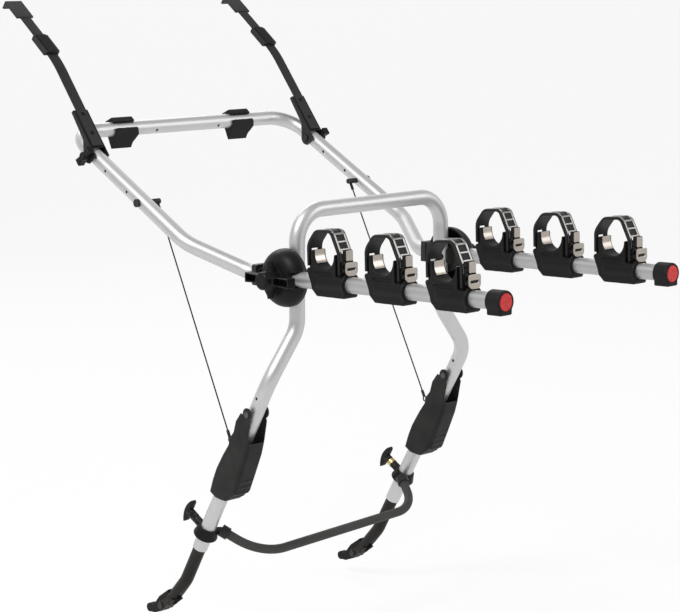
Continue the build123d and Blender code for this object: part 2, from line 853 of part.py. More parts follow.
def cradle_strap(index):
    with BuildPart() as strap:
        plane = cradle_plane(index)
        with BuildSketch(plane):
            with BuildLine() as loop:
                FilletPolyline(*strap_points, radius=strap_radii)
            trace(loop.line, line_width=strap_thick)
        extrude(amount=strap_width / 2, both=True)
        # Windows through the band: one in front, one at the top and one behind
        with BuildSketch(plane):
            with Locations((strap_front_y, cradle_bore_z)):
                Rectangle(strap_width, strap_window)
            with Locations((0, strap_top_z)):
                Rectangle(strap_window, strap_width)
            with Locations((-strap_rear_y, cradle_bore_z)):
                Rectangle(strap_width, strap_window)
        extrude(amount=strap_window / 2, both=True, mode=Mode.SUBTRACT)
        # Knuckle, its neck up to the band, and its trunnions
        with BuildSketch(plane):
            with Locations((strap_pin_y, strap_pin_z)):
                Circle(strap_knuckle_r)
            with Locations((strap_front_y, (strap_pin_z + strap_start_z) / 2)):
                Rectangle(strap_thick, strap_start_z - strap_pin_z)
        extrude(amount=base_slot_width / 2, both=True)
        with BuildSketch(plane):
            with Locations((strap_pin_y, strap_pin_z)):
                Circle(strap_pin_r)
        extrude(amount=cradle_width / 2, both=True)
        # The tongue: a rounded tab with an oval slot
        with BuildSketch(plane):
            with BuildLine():
                Polyline(
                    (-strap_rear_y, tongue_low + tongue_r * 2),
                    (-strap_rear_y - tongue_reach / 2, tongue_low + tongue_r * 2),
                    (-strap_rear_y - tongue_reach, tongue_low + tongue_r),
                    (-strap_rear_y - tongue_reach, tongue_low + tongue_slot),
                    (-strap_rear_y - tongue_reach / 2, tongue_low),
                    (-strap_rear_y, tongue_low),
                    close=True,
                )
            make_face()
        extrude(amount=tongue_r, both=True)
        with BuildSketch(plane):
            with Locations((-strap_rear_y - tongue_reach / 2, tongue_low + tongue_r)):
                SlotOverall(tongue_r, tongue_slot, rotation=-60)
        extrude(amount=strap_width, both=True, mode=Mode.SUBTRACT)
    return strap


for index in range(cradles):
    save_pair(cradle_strap(index), f"cradle_strap_{index + 1}")


# Hooks: bracket, bolt, knob, bands, sleeve and hook, on the right side arm
pivot_z = on_side_arm(bracket_y)


def bracket_plane(x, forward=0.0, up=0.0):
    """A plane square to X at the bracket's pivot: its y runs up the bracket, its x to the car."""
    lean = bracket_lean - 90
    base = side(x, lean, bracket_y, pivot_z)
    return Plane(origin=base.from_local_coords((forward, up, 0)), x_dir=base.x_dir, z_dir=(1, 0, 0))


bracket_half = tube_r + bracket_gap + bracket_wall
with BuildPart() as hook_bracket:
    with BuildSketch(bracket_plane(side_x)):
        with BuildLine():
            Polyline(
                (-bracket_depth, -bracket_low),
                (-bracket_depth, bracket_length),
                (-bracket_depth + bracket_neck, bracket_length),
                (-bracket_neck, bracket_neck_at),
                (bracket_lobe_r - pivot_r, pivot_r),
                (pivot_head_r, -bracket_low),
                close=True,
            )
        make_face()
        Circle(bracket_lobe_r - pivot_r)
    extrude(amount=bracket_half, both=True)
    with BuildSketch(bracket_plane(side_x, forward=-bracket_depth + bracket_wall)):
        with Locations((overrun, 0)):
            Rectangle(2 * overrun, 4 * bracket_length)
    extrude(amount=tube_r + bracket_gap, both=True, mode=Mode.SUBTRACT)
    # The web is notched so that it clears the tube as the bracket swings
    with BuildSketch(bracket_plane(side_x, forward=-bracket_depth)):
        with Locations((0, bracket_notch - overrun / 2)):
            Rectangle(2 * tube_r, overrun)
    extrude(amount=tube_r + bracket_gap, both=True, mode=Mode.SUBTRACT)
    with BuildSketch(bracket_plane(side_x)):
        Circle(pivot_r + fit_gap)
    extrude(amount=overrun, both=True, mode=Mode.SUBTRACT)
save_pair(hook_bracket, "hook_bracket")

# Pivot bolt of the bracket, through the side arm, with its head on the inside
with BuildPart() as pivot_bolt:
    with BuildSketch(bracket_plane(side_x - bracket_half - seat_gap)):
        Circle(pivot_head_r)
    extrude(amount=-pivot_head)
    with BuildSketch(bracket_plane(side_x - bracket_half - pivot_head)):
        Circle(pivot_r)
    extrude(amount=2 * bracket_half + pivot_head + grip_depth)
save_both(pivot_bolt, "hook_pivot_bolts")

with BuildPart() as hook_knob:
    with BuildSketch(bracket_plane(side_x + bracket_half + seat_gap)):
        Circle(grip_boss_r)
        with BuildLine():
            Polyline(
                (-grip_reach, -grip_half),
                (0, -grip_half / 2),
                (grip_reach, -grip_half),
                (grip_reach, grip_half),
                (0, grip_half / 2),
                (-grip_reach, grip_half),
                close=True,
            )
        make_face()
    extrude(amount=grip_depth)
    chamfer(hook_knob.edges().group_by(Axis.X)[-1], bracket_wall)
    with BuildSketch(bracket_plane(side_x)):
        Circle(pivot_r + fit_gap)
    extrude(amount=bracket_half + grip_depth, mode=Mode.SUBTRACT)
save_pair(hook_knob, "hook_knob")

# Lower band: flat spring steel on the web, bent gently to the car above the bracket
band_y = -bracket_depth - band_thick / 2
bend_turn = radians(band_bend)
bend_top = (band_y, band_straight + band_bend_r * tan(bend_turn / 2))


def up_band(distance, out=0.0):
    """A point on the bent part of the band, by its distance past the corner of its bend."""
    return (
        bend_top[0] + distance * sin(bend_turn) - out * cos(bend_turn),
        bend_top[1] + distance * cos(bend_turn) + out * sin(bend_turn),
    )


sleeve_at = sleeve_start - bend_top[1]
sleeve_out = (band_thick + seat_gap) / 2
with BuildPart() as lower_band:
    with BuildSketch(bracket_plane(side_x)):
        with BuildLine() as band_line:
            FilletPolyline((band_y, band_start), bend_top, up_band(sleeve_at + sleeve_length), radius=band_bend_r)
        trace(band_line.line, line_width=band_thick - 2 * fit_gap)
    extrude(amount=band_width / 2, both=True)
    # Rivet heads on the band's outer face
    for distance in rivet_ats:
        rivet_plane = Plane(
            origin=bracket_plane(side_x).from_local_coords((-bracket_depth - band_thick, distance, 0)),
            x_dir=(1, 0, 0),
            z_dir=-bracket_plane(side_x).x_dir,
        )
        with BuildSketch(rivet_plane):
            Circle(rivet_r)
        extrude(amount=rivet_height, taper=30)
save_pair(lower_band, "lower_band")

# Slide sleeve: a moulded box that both bands run through
band_plane_lean = bracket_lean - 90 - band_bend


def band_plane(x, distance, out=0.0):
    """A plane square to X on the bent band: its y runs up the band, its x to the car."""
    base = bracket_plane(x)
    place = base.from_local_coords((*up_band(distance, out), 0))
    return Plane(origin=place, x_dir=side(x, band_plane_lean).x_dir, z_dir=(1, 0, 0))


sleeve_half = band_thick + seat_gap + sleeve_wall
with BuildPart() as slide_sleeve:
    with BuildSketch(band_plane(side_x, sleeve_at + sleeve_length / 2, sleeve_out)):
        Rectangle(2 * sleeve_half, sleeve_length)
    extrude(amount=sleeve_width / 2, both=True)
    chamfer(slide_sleeve.edges().filter_by(Axis.X), sleeve_wall / 2)
    with BuildSketch(band_plane(side_x, sleeve_at + sleeve_length / 2, sleeve_out)):
        Rectangle(2 * band_thick + 3 * seat_gap, 2 * sleeve_length)
    extrude(amount=band_width / 2 + seat_gap, both=True, mode=Mode.SUBTRACT)
save_pair(slide_sleeve, "slide_sleeve")

# Upper band with its hook: it slides in the sleeve, on the outside of the lower band
upper_out = band_thick + seat_gap
head_at = hook_neck - bend_top[1]
with BuildPart() as lid_hook:
    with BuildSketch(band_plane(side_x, sleeve_at, upper_out)):
        with Locations((0, (head_at - sleeve_at) / 2)):
            Rectangle(band_thick - fit_gap, head_at - sleeve_at)
    extrude(amount=band_width / 2, both=True)
    with BuildSketch(band_plane(side_x, head_at, upper_out)):
        with BuildLine():
            Polyline(
                (-hook_thick / 2, -hook_thick),
                (-hook_thick / 2, hook_head_length),
                (hook_lip, hook_head_length),
                (hook_lip, hook_head_length - hook_thick),
                (hook_thick / 2, hook_head_length - 2 * hook_thick),
                (hook_thick / 2, -hook_thick),
                close=True,
            )
        make_face()
    extrude(amount=hook_head_width / 2, both=True)
save_pair(lid_hook, "lid_hook")

# Tension levers: channels over the legs, open to the car
lever_outline_shares = (
    (0.04, 0.83), (0.155, 1.0), (0.27, 0.75), (0.37, 0.95), (0.42, 0.72),
    (0.56, 0.9), (0.73, 1.0), (0.86, 0.9), (1.0, 0.65),
)
lever_back_shares = ((1.0, 0.11), (0.95, 0.65), (0.8, 0.98), (0.62, 0.91), (0.38, 0.8), (0.23, 0.65), (0.05, 0.39))


def lever_back(distance):
    """How deep the lever's back lies behind the leg, at a distance down it from the hinge."""
    for (low, low_depth), (high, high_depth) in zip(lever_back_shares[1:], lever_back_shares):
        if lever_length * low <= distance:
            share = (distance / lever_length - low) / (high - low)
            return lever_depth * (low_depth + share * (high_depth - low_depth))


def lever_body(inset, half_width, front):
    """The lever's outside, or its hollow when inset by the wall."""
    with BuildPart() as body:
        with BuildSketch(leg(lever_at)):
            with BuildLine():
                points = [(front * f, -lever_length * s) for s, f in lever_outline_shares]
                points += [(-lever_depth * f + inset, -lever_length * s + inset) for s, f in lever_back_shares]
                Polyline(*points, close=True)
            make_face()
            Circle(lever_lobe_r - inset)
        extrude(amount=half_width, both=True)
    return body


with BuildPart() as lever_shell:
    add(lever_body(0, lever_width / 2, lever_front).part)
    back_edges = lever_shell.edges().filter_by(lambda e: leg(lever_at).to_local_coords(e.center()).X < -lever_front)
    back_edges = back_edges.filter_by(lambda e: abs(abs(e.center().X - leg_x) - lever_width / 2) < fit_gap)
    fillet(back_edges, lever_round)
    # Grip ribs across the back
    for rib in range(lever_ribs):
        rib_at = lever_rib_start + rib * lever_rib_pitch
        with BuildSketch(leg(lever_at + rib_at, -lever_back(rib_at))):
            Circle(lever_rib_r)
        extrude(amount=lever_width / 2 - lever_round, both=True)
    add(lever_body(lever_wall, lever_width / 2 - lever_wall, overrun).part, mode=Mode.SUBTRACT)
    # The leg's way in from the front, also through the wall at the lower end
    with BuildSketch(leg(lever_at)):
        with Locations((overrun / 2 - tube_r - leg_gap, -lever_length)):
            Rectangle(overrun, overrun)
    extrude(amount=tube_r + leg_gap, both=True, mode=Mode.SUBTRACT)
    # A notch in the top of the back, so that the leg passes when the lever opens
    with BuildSketch(leg(lever_at)):
        Rectangle(overrun * 2, 2 * lever_notch)
    extrude(amount=lever_width / 2 - lever_wall, both=True, mode=Mode.SUBTRACT)
    with BuildSketch(leg(lever_at)):
        Circle(lever_pin_r + fit_gap)
    extrude(amount=overrun, both=True, mode=Mode.SUBTRACT)
save_pair(lever_shell, "tension_lever")

# Hinge pins of the levers, with a spacer on each side of the leg and screw heads outside
with BuildPart() as lever_pin:
    with BuildSketch(leg(lever_at)):
        Circle(lever_pin_r)
    extrude(amount=lever_width / 2 + seat_gap, both=True)
    for sign in (-1, 1):
        with BuildSketch(leg(lever_at, x=leg_x + sign * (lever_width / 2 + seat_gap))):
            Circle(lever_screw_r)
        extrude(amount=sign * lever_screw_head)
    with BuildSketch(leg(lever_at)):
        Circle(lever_screw_r)
    extrude(amount=lever_width / 2 - lever_wall - seat_gap, both=True)
    with BuildSketch(down_leg(lever_at - overrun)):
        Circle(tube_r + fit_gap)
    extrude(amount=2 * overrun, mode=Mode.SUBTRACT)
    with BuildSketch(leg(lever_at)):
        Circle(lever_pin_r)
    extrude(amount=tube_r + fit_gap, both=True)
save_both(lever_pin, "lever_pins")

# Cable eyes on the legs
cable_top = Vector(cable_top_x, hub_y + anchor_y, hub_z + anchor_z)
cable_low = leg(lever_at + cable_end_at, cable_end_out).origin
cable_run = cable_low - cable_top
cable_down = cable_run.normalized()
with BuildPart() as cable_eye:
    with BuildSketch(leg(lever_at + cable_end_at, cable_end_out)):
        Circle(eye_r)
        Circle(eye_r - eye_wire_r, mode=Mode.SUBTRACT)
    extrude(amount=eye_wire_r / 2, both=True)
    stem_base = leg(lever_at + cable_end_at, tube_r - tube_wall)
    with BuildSketch(Plane(origin=stem_base.origin, x_dir=(1, 0, 0), z_dir=stem_base.x_dir)):
        Circle(eye_stem_r)
    extrude(amount=cable_end_out - eye_r - tube_r + tube_wall + eye_wire_r / 2)
    with BuildSketch(down_leg(lever_at)):
        Circle(tube_r + fit_gap)
    extrude(amount=lever_length, mode=Mode.SUBTRACT)
    # The ferrule that holds the cable's end
    ferrule_base = Plane(origin=cable_low - cable_down * (eye_r - eye_wire_r / 2), z_dir=-cable_down)
    with BuildSketch(ferrule_base):
        Circle(ferrule_r)
    extrude(amount=ferrule_length)
    with BuildSketch(ferrule_base.offset(eye_wire_r)):
        Circle(cable_r + fit_gap)
    extrude(amount=overrun, mode=Mode.SUBTRACT)
save_both(cable_eye, "cable_eyes")

# Anchor bolts on the side arms, with a clevis inside the frame
with BuildPart() as anchor:
    with BuildSketch(side(side_x + tube_r, 0, anchor_y, anchor_z)):
        Circle(anchor_head_r)
    extrude(amount=anchor_head)
    with BuildSketch(side(cable_top_x, 0, anchor_y, anchor_z)):
        Circle(anchor_r)
    extrude(amount=side_x + tube_r - cable_top_x)
    with BuildSketch(side(cable_top_x - clevis_r, 0, anchor_y, anchor_z)):
        Circle(clevis_r)
    extrude(amount=side_x - tube_r - cable_top_x + clevis_r - fit_gap)
    with BuildSketch(Plane(origin=cable_top, z_dir=cable_down)):
        Circle(ferrule_r)
    extrude(amount=clevis_r + ferrule_length)
    with BuildSketch(Plane(origin=cable_top + cable_down * clevis_r, z_dir=cable_down)):
        Circle(cable_r + fit_gap)
    extrude(amount=overrun, mode=Mode.SUBTRACT)
save_both(anchor, "cable_anchors")

# Cables: taut, from the anchor's ferrule to the eye's
cable_length = cable_run.length - clevis_r - eye_r - eye_wire_r / 2 - 2 * fit_gap
with BuildPart() as cable:
    with BuildSketch(Plane(origin=cable_top + cable_down * (clevis_r + fit_gap), z_dir=cable_down)):
        Circle(cable_r)
    extrude(amount=cable_length)
print("cable length", round(cable_length))
save_pair(cable, "cable")

# Bumper bar: a bow behind the legs, between two collars that stand at different heights
def leg_point(x, distance, out):
    """A point by its distance down the leg from the hip bend and out from it, from the hub axis."""
    place = leg(distance, out, x).origin
    return (place.X, place.Y - hub_y, place.Z - hub_z)


left_at, right_at = (leg_length - up for up in collar_ups)
left_corner_x, right_corner_x = bar_corner_xs
bar_points = [
    leg_point(-bar_end_x, left_at - bar_end_rise, -bar_end_out),
    leg_point(-left_corner_x, left_at, -bar_bow),
    leg_point(right_corner_x, right_at, -bar_bow),
    leg_point(bar_end_x, right_at - bar_end_rise, -bar_end_out),
]
bar_path = route(bar_points, list(bar_bend_rs))
with BuildPart() as bumper_bar:
    with BuildSketch(square_to(bar_path)):
        Circle(bar_r)
    sweep(path=bar_path)
save(bumper_bar, "bumper_bar")


def bar_end(sign):
    """The bar's end point and the direction in which it leaves its collar."""
    if sign < 0:
        return bar_path @ 0, bar_path % 0
    return bar_path @ 1, -(bar_path % 1)


def collar(sign, distance):
    """A ring on the leg with a clamp boss in front and a socket for the bar at the rear."""
    end, leaving = bar_end(sign)
    centre = leg(distance, 0, sign * leg_x)
    with BuildPart() as ring:
        down = Plane(origin=centre.from_local_coords((0, collar_height / 2, 0)), x_dir=(1, 0, 0), z_dir=-centre.y_dir)
        with BuildSketch(down):
            Circle(collar_top_r)
        with BuildSketch(down.offset(collar_height)):
            Circle(collar_low_r)
        loft()
        fillet(ring.edges().filter_by(GeomType.CIRCLE), collar_lip)
        with BuildSketch(Plane(origin=centre.origin, x_dir=(1, 0, 0), z_dir=centre.x_dir)):
            Circle(collar_boss_r)
        extrude(amount=collar_boss_out)
        with BuildSketch(Plane(origin=end - leaving * bar_socket_wall, z_dir=leaving)):
            Circle(bar_socket_r)
        extrude(amount=bar_socket + bar_socket_wall)
        # A pinch lug ties the socket to the ring
        reach = Vector(end) - centre.origin
        with BuildSketch(Plane(origin=centre.origin, x_dir=centre.y_dir, z_dir=reach)):
            Rectangle(collar_lug_width, bar_socket_r)
        extrude(amount=reach.length)
        with BuildSketch(Plane(origin=end, z_dir=leaving)):
            Circle(bar_r + fit_gap)
        extrude(amount=overrun, mode=Mode.SUBTRACT)
        with BuildSketch(down.offset(-overrun)):
            Circle(tube_r + fit_gap)
        extrude(amount=2 * overrun, mode=Mode.SUBTRACT)
        with BuildSketch(Plane(origin=centre.origin, x_dir=(1, 0, 0), z_dir=centre.x_dir)):
            Circle(screw_r + fit_gap)
        extrude(amount=overrun, mode=Mode.SUBTRACT)
    return ring


with BuildPart() as bar_collars:
    add(collar(-1, left_at).part)
    add(collar(1, right_at).part)
save(bar_collars, "bar_collars")


def clamp_knob(sign, distance):
    """A screw that clamps the collar, with a stem and a crescent grip."""
    centre = leg(distance, 0, sign * leg_x)
    forward = Plane(origin=centre.origin, x_dir=(1, 0, 0), z_dir=centre.x_dir)
    with BuildPart() as knob:
        with BuildSketch(forward.offset(tube_r + seat_gap)):
            Circle(screw_r)
        extrude(amount=clamp_head_at - tube_r)
        with BuildSketch(forward.offset(clamp_stem_in)):
            Circle(clamp_stem_r)
        extrude(amount=clamp_head_at - clamp_stem_in)
        with BuildSketch(centre):
            with BuildLine():
                ThreePointArc(
                    (clamp_head_at, -clamp_head_half),
                    (clamp_head_at + clamp_head_depth, 0),
                    (clamp_head_at, clamp_head_half),
                )
                Polyline(
                    (clamp_head_at, clamp_head_half),
                    (clamp_head_at - clamp_head_depth / 2, clamp_head_half - clamp_stem_r / 2),
                    (clamp_head_at - clamp_head_depth / 2, clamp_stem_r - clamp_head_half),
                    (clamp_head_at, -clamp_head_half),
                )
            make_face()
        extrude(amount=clamp_head_width / 2, both=True)
    return knob


for sign, distance, label in ((-1, left_at, "left"), (1, right_at, "right")):
    save(clamp_knob(sign, distance), f"clamp_knob_{label}")

# Feet: tubes that slide in the legs and bend to the car, forked at the end for the hook plate
foot_end = leg_length + foot_straight
foot_points = [(leg_length - foot_in, 0), (foot_end, 0), (foot_end + foot_run, foot_kick)]
foot_path = route([leg_point(leg_x, distance, out) for distance, out in foot_points], [foot_bend_r])
with BuildPart() as foot:
    with BuildSketch(square_to(foot_path)):
        Circle(foot_r)
        Circle(foot_r - tube_wall, mode=Mode.SUBTRACT)
    sweep(path=foot_path)
    # The fork's ears, from the tube's end down to the bolt
    with BuildSketch(leg(foot_end)):
        with BuildLine():
            Polyline(
                (0, -foot_ear_at),
                (hook_bolt_out - foot_ear_r, -hook_bolt_at),
                (hook_bolt_out + foot_ear_r, -hook_bolt_at),
                (foot_kick, -foot_ear_at),
                close=True,
            )
        make_face()
        with Locations((hook_bolt_out, -hook_bolt_at)):
            Circle(foot_ear_r)
    extrude(amount=foot_r, both=True)
    with BuildSketch(leg(foot_end)):
        with Locations((0, -hook_bolt_at / 2 - overrun)):
            Rectangle(2 * overrun, 2 * overrun + foot_r)
    extrude(amount=hook_plate_width / 2 + seat_gap, both=True, mode=Mode.SUBTRACT)
    with BuildSketch(leg(foot_end)):
        with Locations((hook_bolt_out, -hook_bolt_at)):
            Circle(hook_bolt_r)
    extrude(amount=overrun, both=True, mode=Mode.SUBTRACT)
    # The bolt through the fork, a solid of its own
    with BuildSketch(leg(foot_end, 0, leg_x - foot_r - seat_gap)):
        with Locations((hook_bolt_out, -hook_bolt_at)):
            Circle(hook_bolt_r - fit_gap)
    extrude(amount=2 * (foot_r + seat_gap))
    for sign in (-1, 1):
        with BuildSketch(leg(foot_end, 0, leg_x + sign * (foot_r + seat_gap))):
            with Locations((hook_bolt_out, -hook_bolt_at)):
                Circle(hook_bolt_head_r)
        extrude(amount=sign * hook_bolt_head)
save_pair(foot, "foot")

# Hook plates: they turn on a bolt through the fork, and curl round the lid's lower edge
hook_plate_shares = (
    (0.5, 0.4), (0.78, 0.66), (0.86, 0.86), (0.98, 0.93), (0.95, 1.06), (0.68, 0.99), (0.34, 0.8), (0.2, 0.62),
)
with BuildPart() as hook_plate:
    with BuildSketch(leg(foot_end)):
        with BuildLine():
            Polyline(*[(hook_curl_out * out, -hook_curl_at * down) for out, down in hook_plate_shares], close=True)
        make_face()
        with Locations((hook_curl_out, -hook_curl_at)):
            Circle(hook_curl_r)
        with Locations((hook_bolt_out, -hook_bolt_at)):
            Circle(foot_ear_r)
            Circle(hook_bolt_r + fit_gap, mode=Mode.SUBTRACT)
    extrude(amount=hook_plate_width / 2, both=True)
save_pair(hook_plate, "hook_plate")
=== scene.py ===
# %% [markdown]
# # A bicycle rack for a car's boot lid
# The rack is two bent tube frames, locked together at two knobs, with two arms that carry
# bicycles in strap cradles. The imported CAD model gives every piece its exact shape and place,
# so this lesson never moves a piece. It adds what the solids leave out: the finish of each
# material, the softened edges of castings and mouldings, and the small trim.

# %% Load the fixed frame
import math

import bmesh
import bpy
from mathutils import Matrix, Vector


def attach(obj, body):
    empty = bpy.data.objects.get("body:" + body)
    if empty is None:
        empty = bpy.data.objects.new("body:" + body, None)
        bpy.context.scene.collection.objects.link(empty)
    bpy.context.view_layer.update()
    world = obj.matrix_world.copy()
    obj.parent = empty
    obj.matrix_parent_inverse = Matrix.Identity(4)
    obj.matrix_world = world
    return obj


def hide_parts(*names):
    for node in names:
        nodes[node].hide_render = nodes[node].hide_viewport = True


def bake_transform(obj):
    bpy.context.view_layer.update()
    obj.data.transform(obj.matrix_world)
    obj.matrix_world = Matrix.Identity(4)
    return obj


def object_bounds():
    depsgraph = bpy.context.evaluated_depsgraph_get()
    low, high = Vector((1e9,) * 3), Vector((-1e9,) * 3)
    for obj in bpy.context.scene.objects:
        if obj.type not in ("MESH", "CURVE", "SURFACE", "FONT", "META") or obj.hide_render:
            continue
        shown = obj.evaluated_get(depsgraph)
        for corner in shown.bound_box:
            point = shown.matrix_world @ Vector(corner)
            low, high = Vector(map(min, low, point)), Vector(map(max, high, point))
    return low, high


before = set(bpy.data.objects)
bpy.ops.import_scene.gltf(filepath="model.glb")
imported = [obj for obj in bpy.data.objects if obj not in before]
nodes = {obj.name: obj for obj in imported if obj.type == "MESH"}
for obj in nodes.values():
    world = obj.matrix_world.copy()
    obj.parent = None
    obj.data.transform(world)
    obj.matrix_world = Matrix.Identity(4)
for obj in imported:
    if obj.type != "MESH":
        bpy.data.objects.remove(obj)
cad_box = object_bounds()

# %% [markdown]
# ## The camera first
# The photograph was taken from far behind the car with a long lens, a little above the hubs.
# A long lens keeps parallel tubes nearly parallel. The camera could be placed by eye, but here
# its place and its direction were worked out once from the rack's own straight tubes.

# %% Camera at the photograph's place
LENS_MM = 110.54
CAMERA_PLACE = Vector((-2.8, -3.41943, 0.37564))
CAMERA_FORWARD = Vector((0.681, 0.713, -0.1676))

camera = bpy.data.objects.new("camera", bpy.data.cameras.new("camera"))
camera.data.lens = LENS_MM
camera.data.clip_end = 60
camera.location = CAMERA_PLACE
camera.rotation_euler = CAMERA_FORWARD.to_track_quat("-Z", "Y").to_euler()
bpy.context.scene.collection.objects.link(camera)
bpy.context.scene.camera = camera
print("camera", tuple(round(v, 3) for v in camera.location), "lens", LENS_MM)

# %% [markdown]
# ## Shader maths as Python expressions
# A finish is a small sum: noise times a strength, plus a base value. Written by hand in nodes
# that takes dozens of boxes. One small class wraps a socket and overloads the operators, so
# that `0.4 + grit * 0.14` adds the Math nodes by itself. Every other node comes from one method.


# %% A socket that can stand in an expression
class Wire:
    """A node's output, usable in sums and products of numbers."""

    def __init__(self, tree, socket):
        self.tree = tree
        self.socket = socket

    def _maths(self, operation, first, second):
        node = self.tree.nodes.new("ShaderNodeMath")
        node.operation = operation
        for entry, value in zip(node.inputs, (first, second)):
            connect(self.tree, entry, value)
        return Wire(self.tree, node.outputs[0])

    def __add__(self, other):
        return self._maths("ADD", self, other)

    def __radd__(self, other):
        return self._maths("ADD", other, self)

    def __sub__(self, other):
        return self._maths("SUBTRACT", self, other)

    def __mul__(self, other):
        return self._maths("MULTIPLY", self, other)


def connect(tree, entry, value):
    """Link a wire to a node's entry, or set a plain value there."""
    if isinstance(value, Wire):
        tree.links.new(value.socket, entry)
    else:
        entry.default_value = value


print("sums and products of wires become Math nodes")


# %% A tree with the one method that adds its nodes
class Nodes:
    """A node tree of a material or of the world."""

    def __init__(self, tree):
        self.tree = tree

    def node(self, kind, output=0, settings=None, **values):
        """Add a node. An entry is given by its name, or as i0, i1 and so on by its number."""
        made = self.tree.nodes.new("ShaderNode" + kind)
        for name, value in (settings or {}).items():
            setattr(made, name, value)
        for name, value in values.items():
            key = int(name[1:]) if name[1:].isdigit() else name.replace("_", " ")
            connect(self.tree, made.inputs[key], value)
        return Wire(self.tree, made.outputs[output])

    def show(self, mixed, output):
        """Link a mixed surface to the tree's output node."""
        self.tree.links.new(mixed.socket, self.tree.nodes[output].inputs["Surface"])


print("one method adds every other node")


# %% A finish: one material, its shader and the noises that all finishes use
class Finish(Nodes):
    """A procedural material on a Principled shader."""

    def __init__(self, name, **constants):
        self.material = bpy.data.materials.new(name)
        self.material.use_nodes = True
        super().__init__(self.material.node_tree)
        self.shader = self.tree.nodes["Principled BSDF"]
        self.set(**constants)
        self.place = self.node("TexCoord", output="Object")

    def set(self, **values):
        """Give entries of the shader a wire or a plain value."""
        for name, value in values.items():
            connect(self.tree, self.shader.inputs[name.replace("_", " ")], value)

    def noise(self, scale, detail=2.0, rough=0.5, place=None):
        """A noise of so many cells to the metre."""
        entries = {"Vector": place or self.place, "Scale": scale, "Detail": detail, "Roughness": rough}
        return self.node("TexNoise", "Fac", **entries)

    def blend(self, factor, first, second):
        """A colour between two colours, by a factor."""
        return self.node("Mix", 2, {"data_type": "RGBA"}, i0=factor, i6=first, i7=second)

    def bump(self, height, distance, strength):
        """Let a height in metres tilt the surface's normal."""
        self.set(Normal=self.node("Bump", Height=height, Distance=distance, Strength=strength))


def grey(level, warmth=0.0):
    """A grey, a little warmer or cooler."""
    return (level * (1 + warmth), level, level * (1 - warmth), 1)


print("a warm grey is", grey(0.5, 0.02))

# %% [markdown]
# ## Silver tube
# The frames are aluminium tube with a satin silver coat: fine metal flakes under a thin clear
# film. A plain metal shader looks like chrome, so the flakes are a very fine noise that tilts
# the surface and varies its roughness, and a broad noise shifts the tone a little from place
# to place, as handling does.


# %% Satin silver
def satin_silver(name, level, rough):
    finish = Finish(name, Metallic=0.8, IOR=1.45, Specular_IOR_Level=0.35)
    flakes = finish.noise(2600, 1.0)
    broad = finish.noise(7, 3.0, 0.6)
    dark, light = grey(level * 0.9, 0.004), grey(level * 1.08, -0.008)
    finish.set(
        Base_Color=finish.blend(broad * 0.6 + flakes * 0.4, dark, light),
        Roughness=rough - 0.05 + flakes * 0.08 + broad * 0.03,
    )
    finish.bump(flakes, 0.00001, 0.2)
    return finish.material


silver_tube = satin_silver("silver_tube", 0.6, 0.45)
grey_tube = satin_silver("grey_tube", 0.48, 0.47)
print("satin silver for", silver_tube.name, "and", grey_tube.name)

# %% [markdown]
# ## Moulded plastic
# The clips, covers, cradles and levers are glass-filled nylon. Its skin is near black with a
# fine spark-eroded grain, so highlights are broad and soft. Corners are painted paler and
# smoother: partly the rub of hands and straps, partly a painted highlight along the edges.
# The Geometry node's pointiness finds those corners.


# %% Grained black plastic
# worn: how much paler the corners are painted, for rub wear and a painted highlight together
def moulded(name, level, rough, grain, worn=0.03):
    finish = Finish(name, IOR=1.46, Specular_IOR_Level=0.16)
    grit = finish.noise(1500, 2.0)
    cloud = finish.noise(24, 3.0)
    corner = finish.node("NewGeometry", "Pointiness")
    # Convex corners get a paler colour: part rub wear, part a painted highlight along the edges
    rub_wear_and_sheen = finish.node("MapRange", 0, {"clamp": True}, Value=corner, From_Min=0.52, From_Max=0.6)
    finish.set(
        Base_Color=finish.blend(rub_wear_and_sheen * 0.6 + cloud * 0.25, grey(level, 0.03), grey(level + worn, 0.03)),
        Roughness=rough + grit * 0.14 - rub_wear_and_sheen * 0.08,
    )
    finish.bump(grit, grain, 0.6)
    return finish.material


black_plastic = moulded("black_plastic", 0.005, 0.38, 0.00006)
# The levers' corners are painted much paler: a painted highlight on their edges and grooves, with rub wear
charcoal_plastic = moulded("charcoal_plastic", 0.007, 0.42, 0.00008, worn=0.1)
knob_plastic = moulded("knob_plastic", 0.0045, 0.34, 0.00003)
cap_plastic = moulded("cap_plastic", 0.007, 0.48, 0.00005)
strap_rubber = moulded("strap_rubber", 0.006, 0.45, 0.00005, worn=0.015)
print("plastics made")

# %% [markdown]
# ## Steel
# There are three steels here: bright plates with a fine rolled grain, zinc plated bolts with a
# blue and yellow cast, and black painted hook bands. Rolled grain is a noise that is stretched
# along one direction. Two more tones of the rolled plate serve the darker ladders and one bush
# of brass.


# %% Rolled plate, zinc and black paint
def rolled_plate(name, tone, rough):
    finish = Finish(name, Metallic=1.0)
    stretched = finish.node("Mapping", Vector=finish.place, Scale=(2600, 160, 160))
    lines = finish.noise(1.0, 3.0, 0.6, stretched)
    broad = finish.noise(60, 2.0)
    shade = tuple(t * 0.82 for t in tone) + (1,)
    finish.set(
        Base_Color=finish.blend(lines * 0.5 + broad * 0.5, shade, tone + (1,)),
        Roughness=rough + lines * 0.16,
    )
    finish.bump(lines, 0.00002, 0.6)
    return finish.material


def zinc_plated():
    finish = Finish("zinc_steel", Metallic=1.0)
    cast = finish.noise(180, 3.0)
    finish.set(
        Base_Color=finish.blend(cast, (0.5, 0.52, 0.56, 1), (0.66, 0.63, 0.54, 1)),
        Roughness=0.28 + cast * 0.2,
    )
    return finish.material


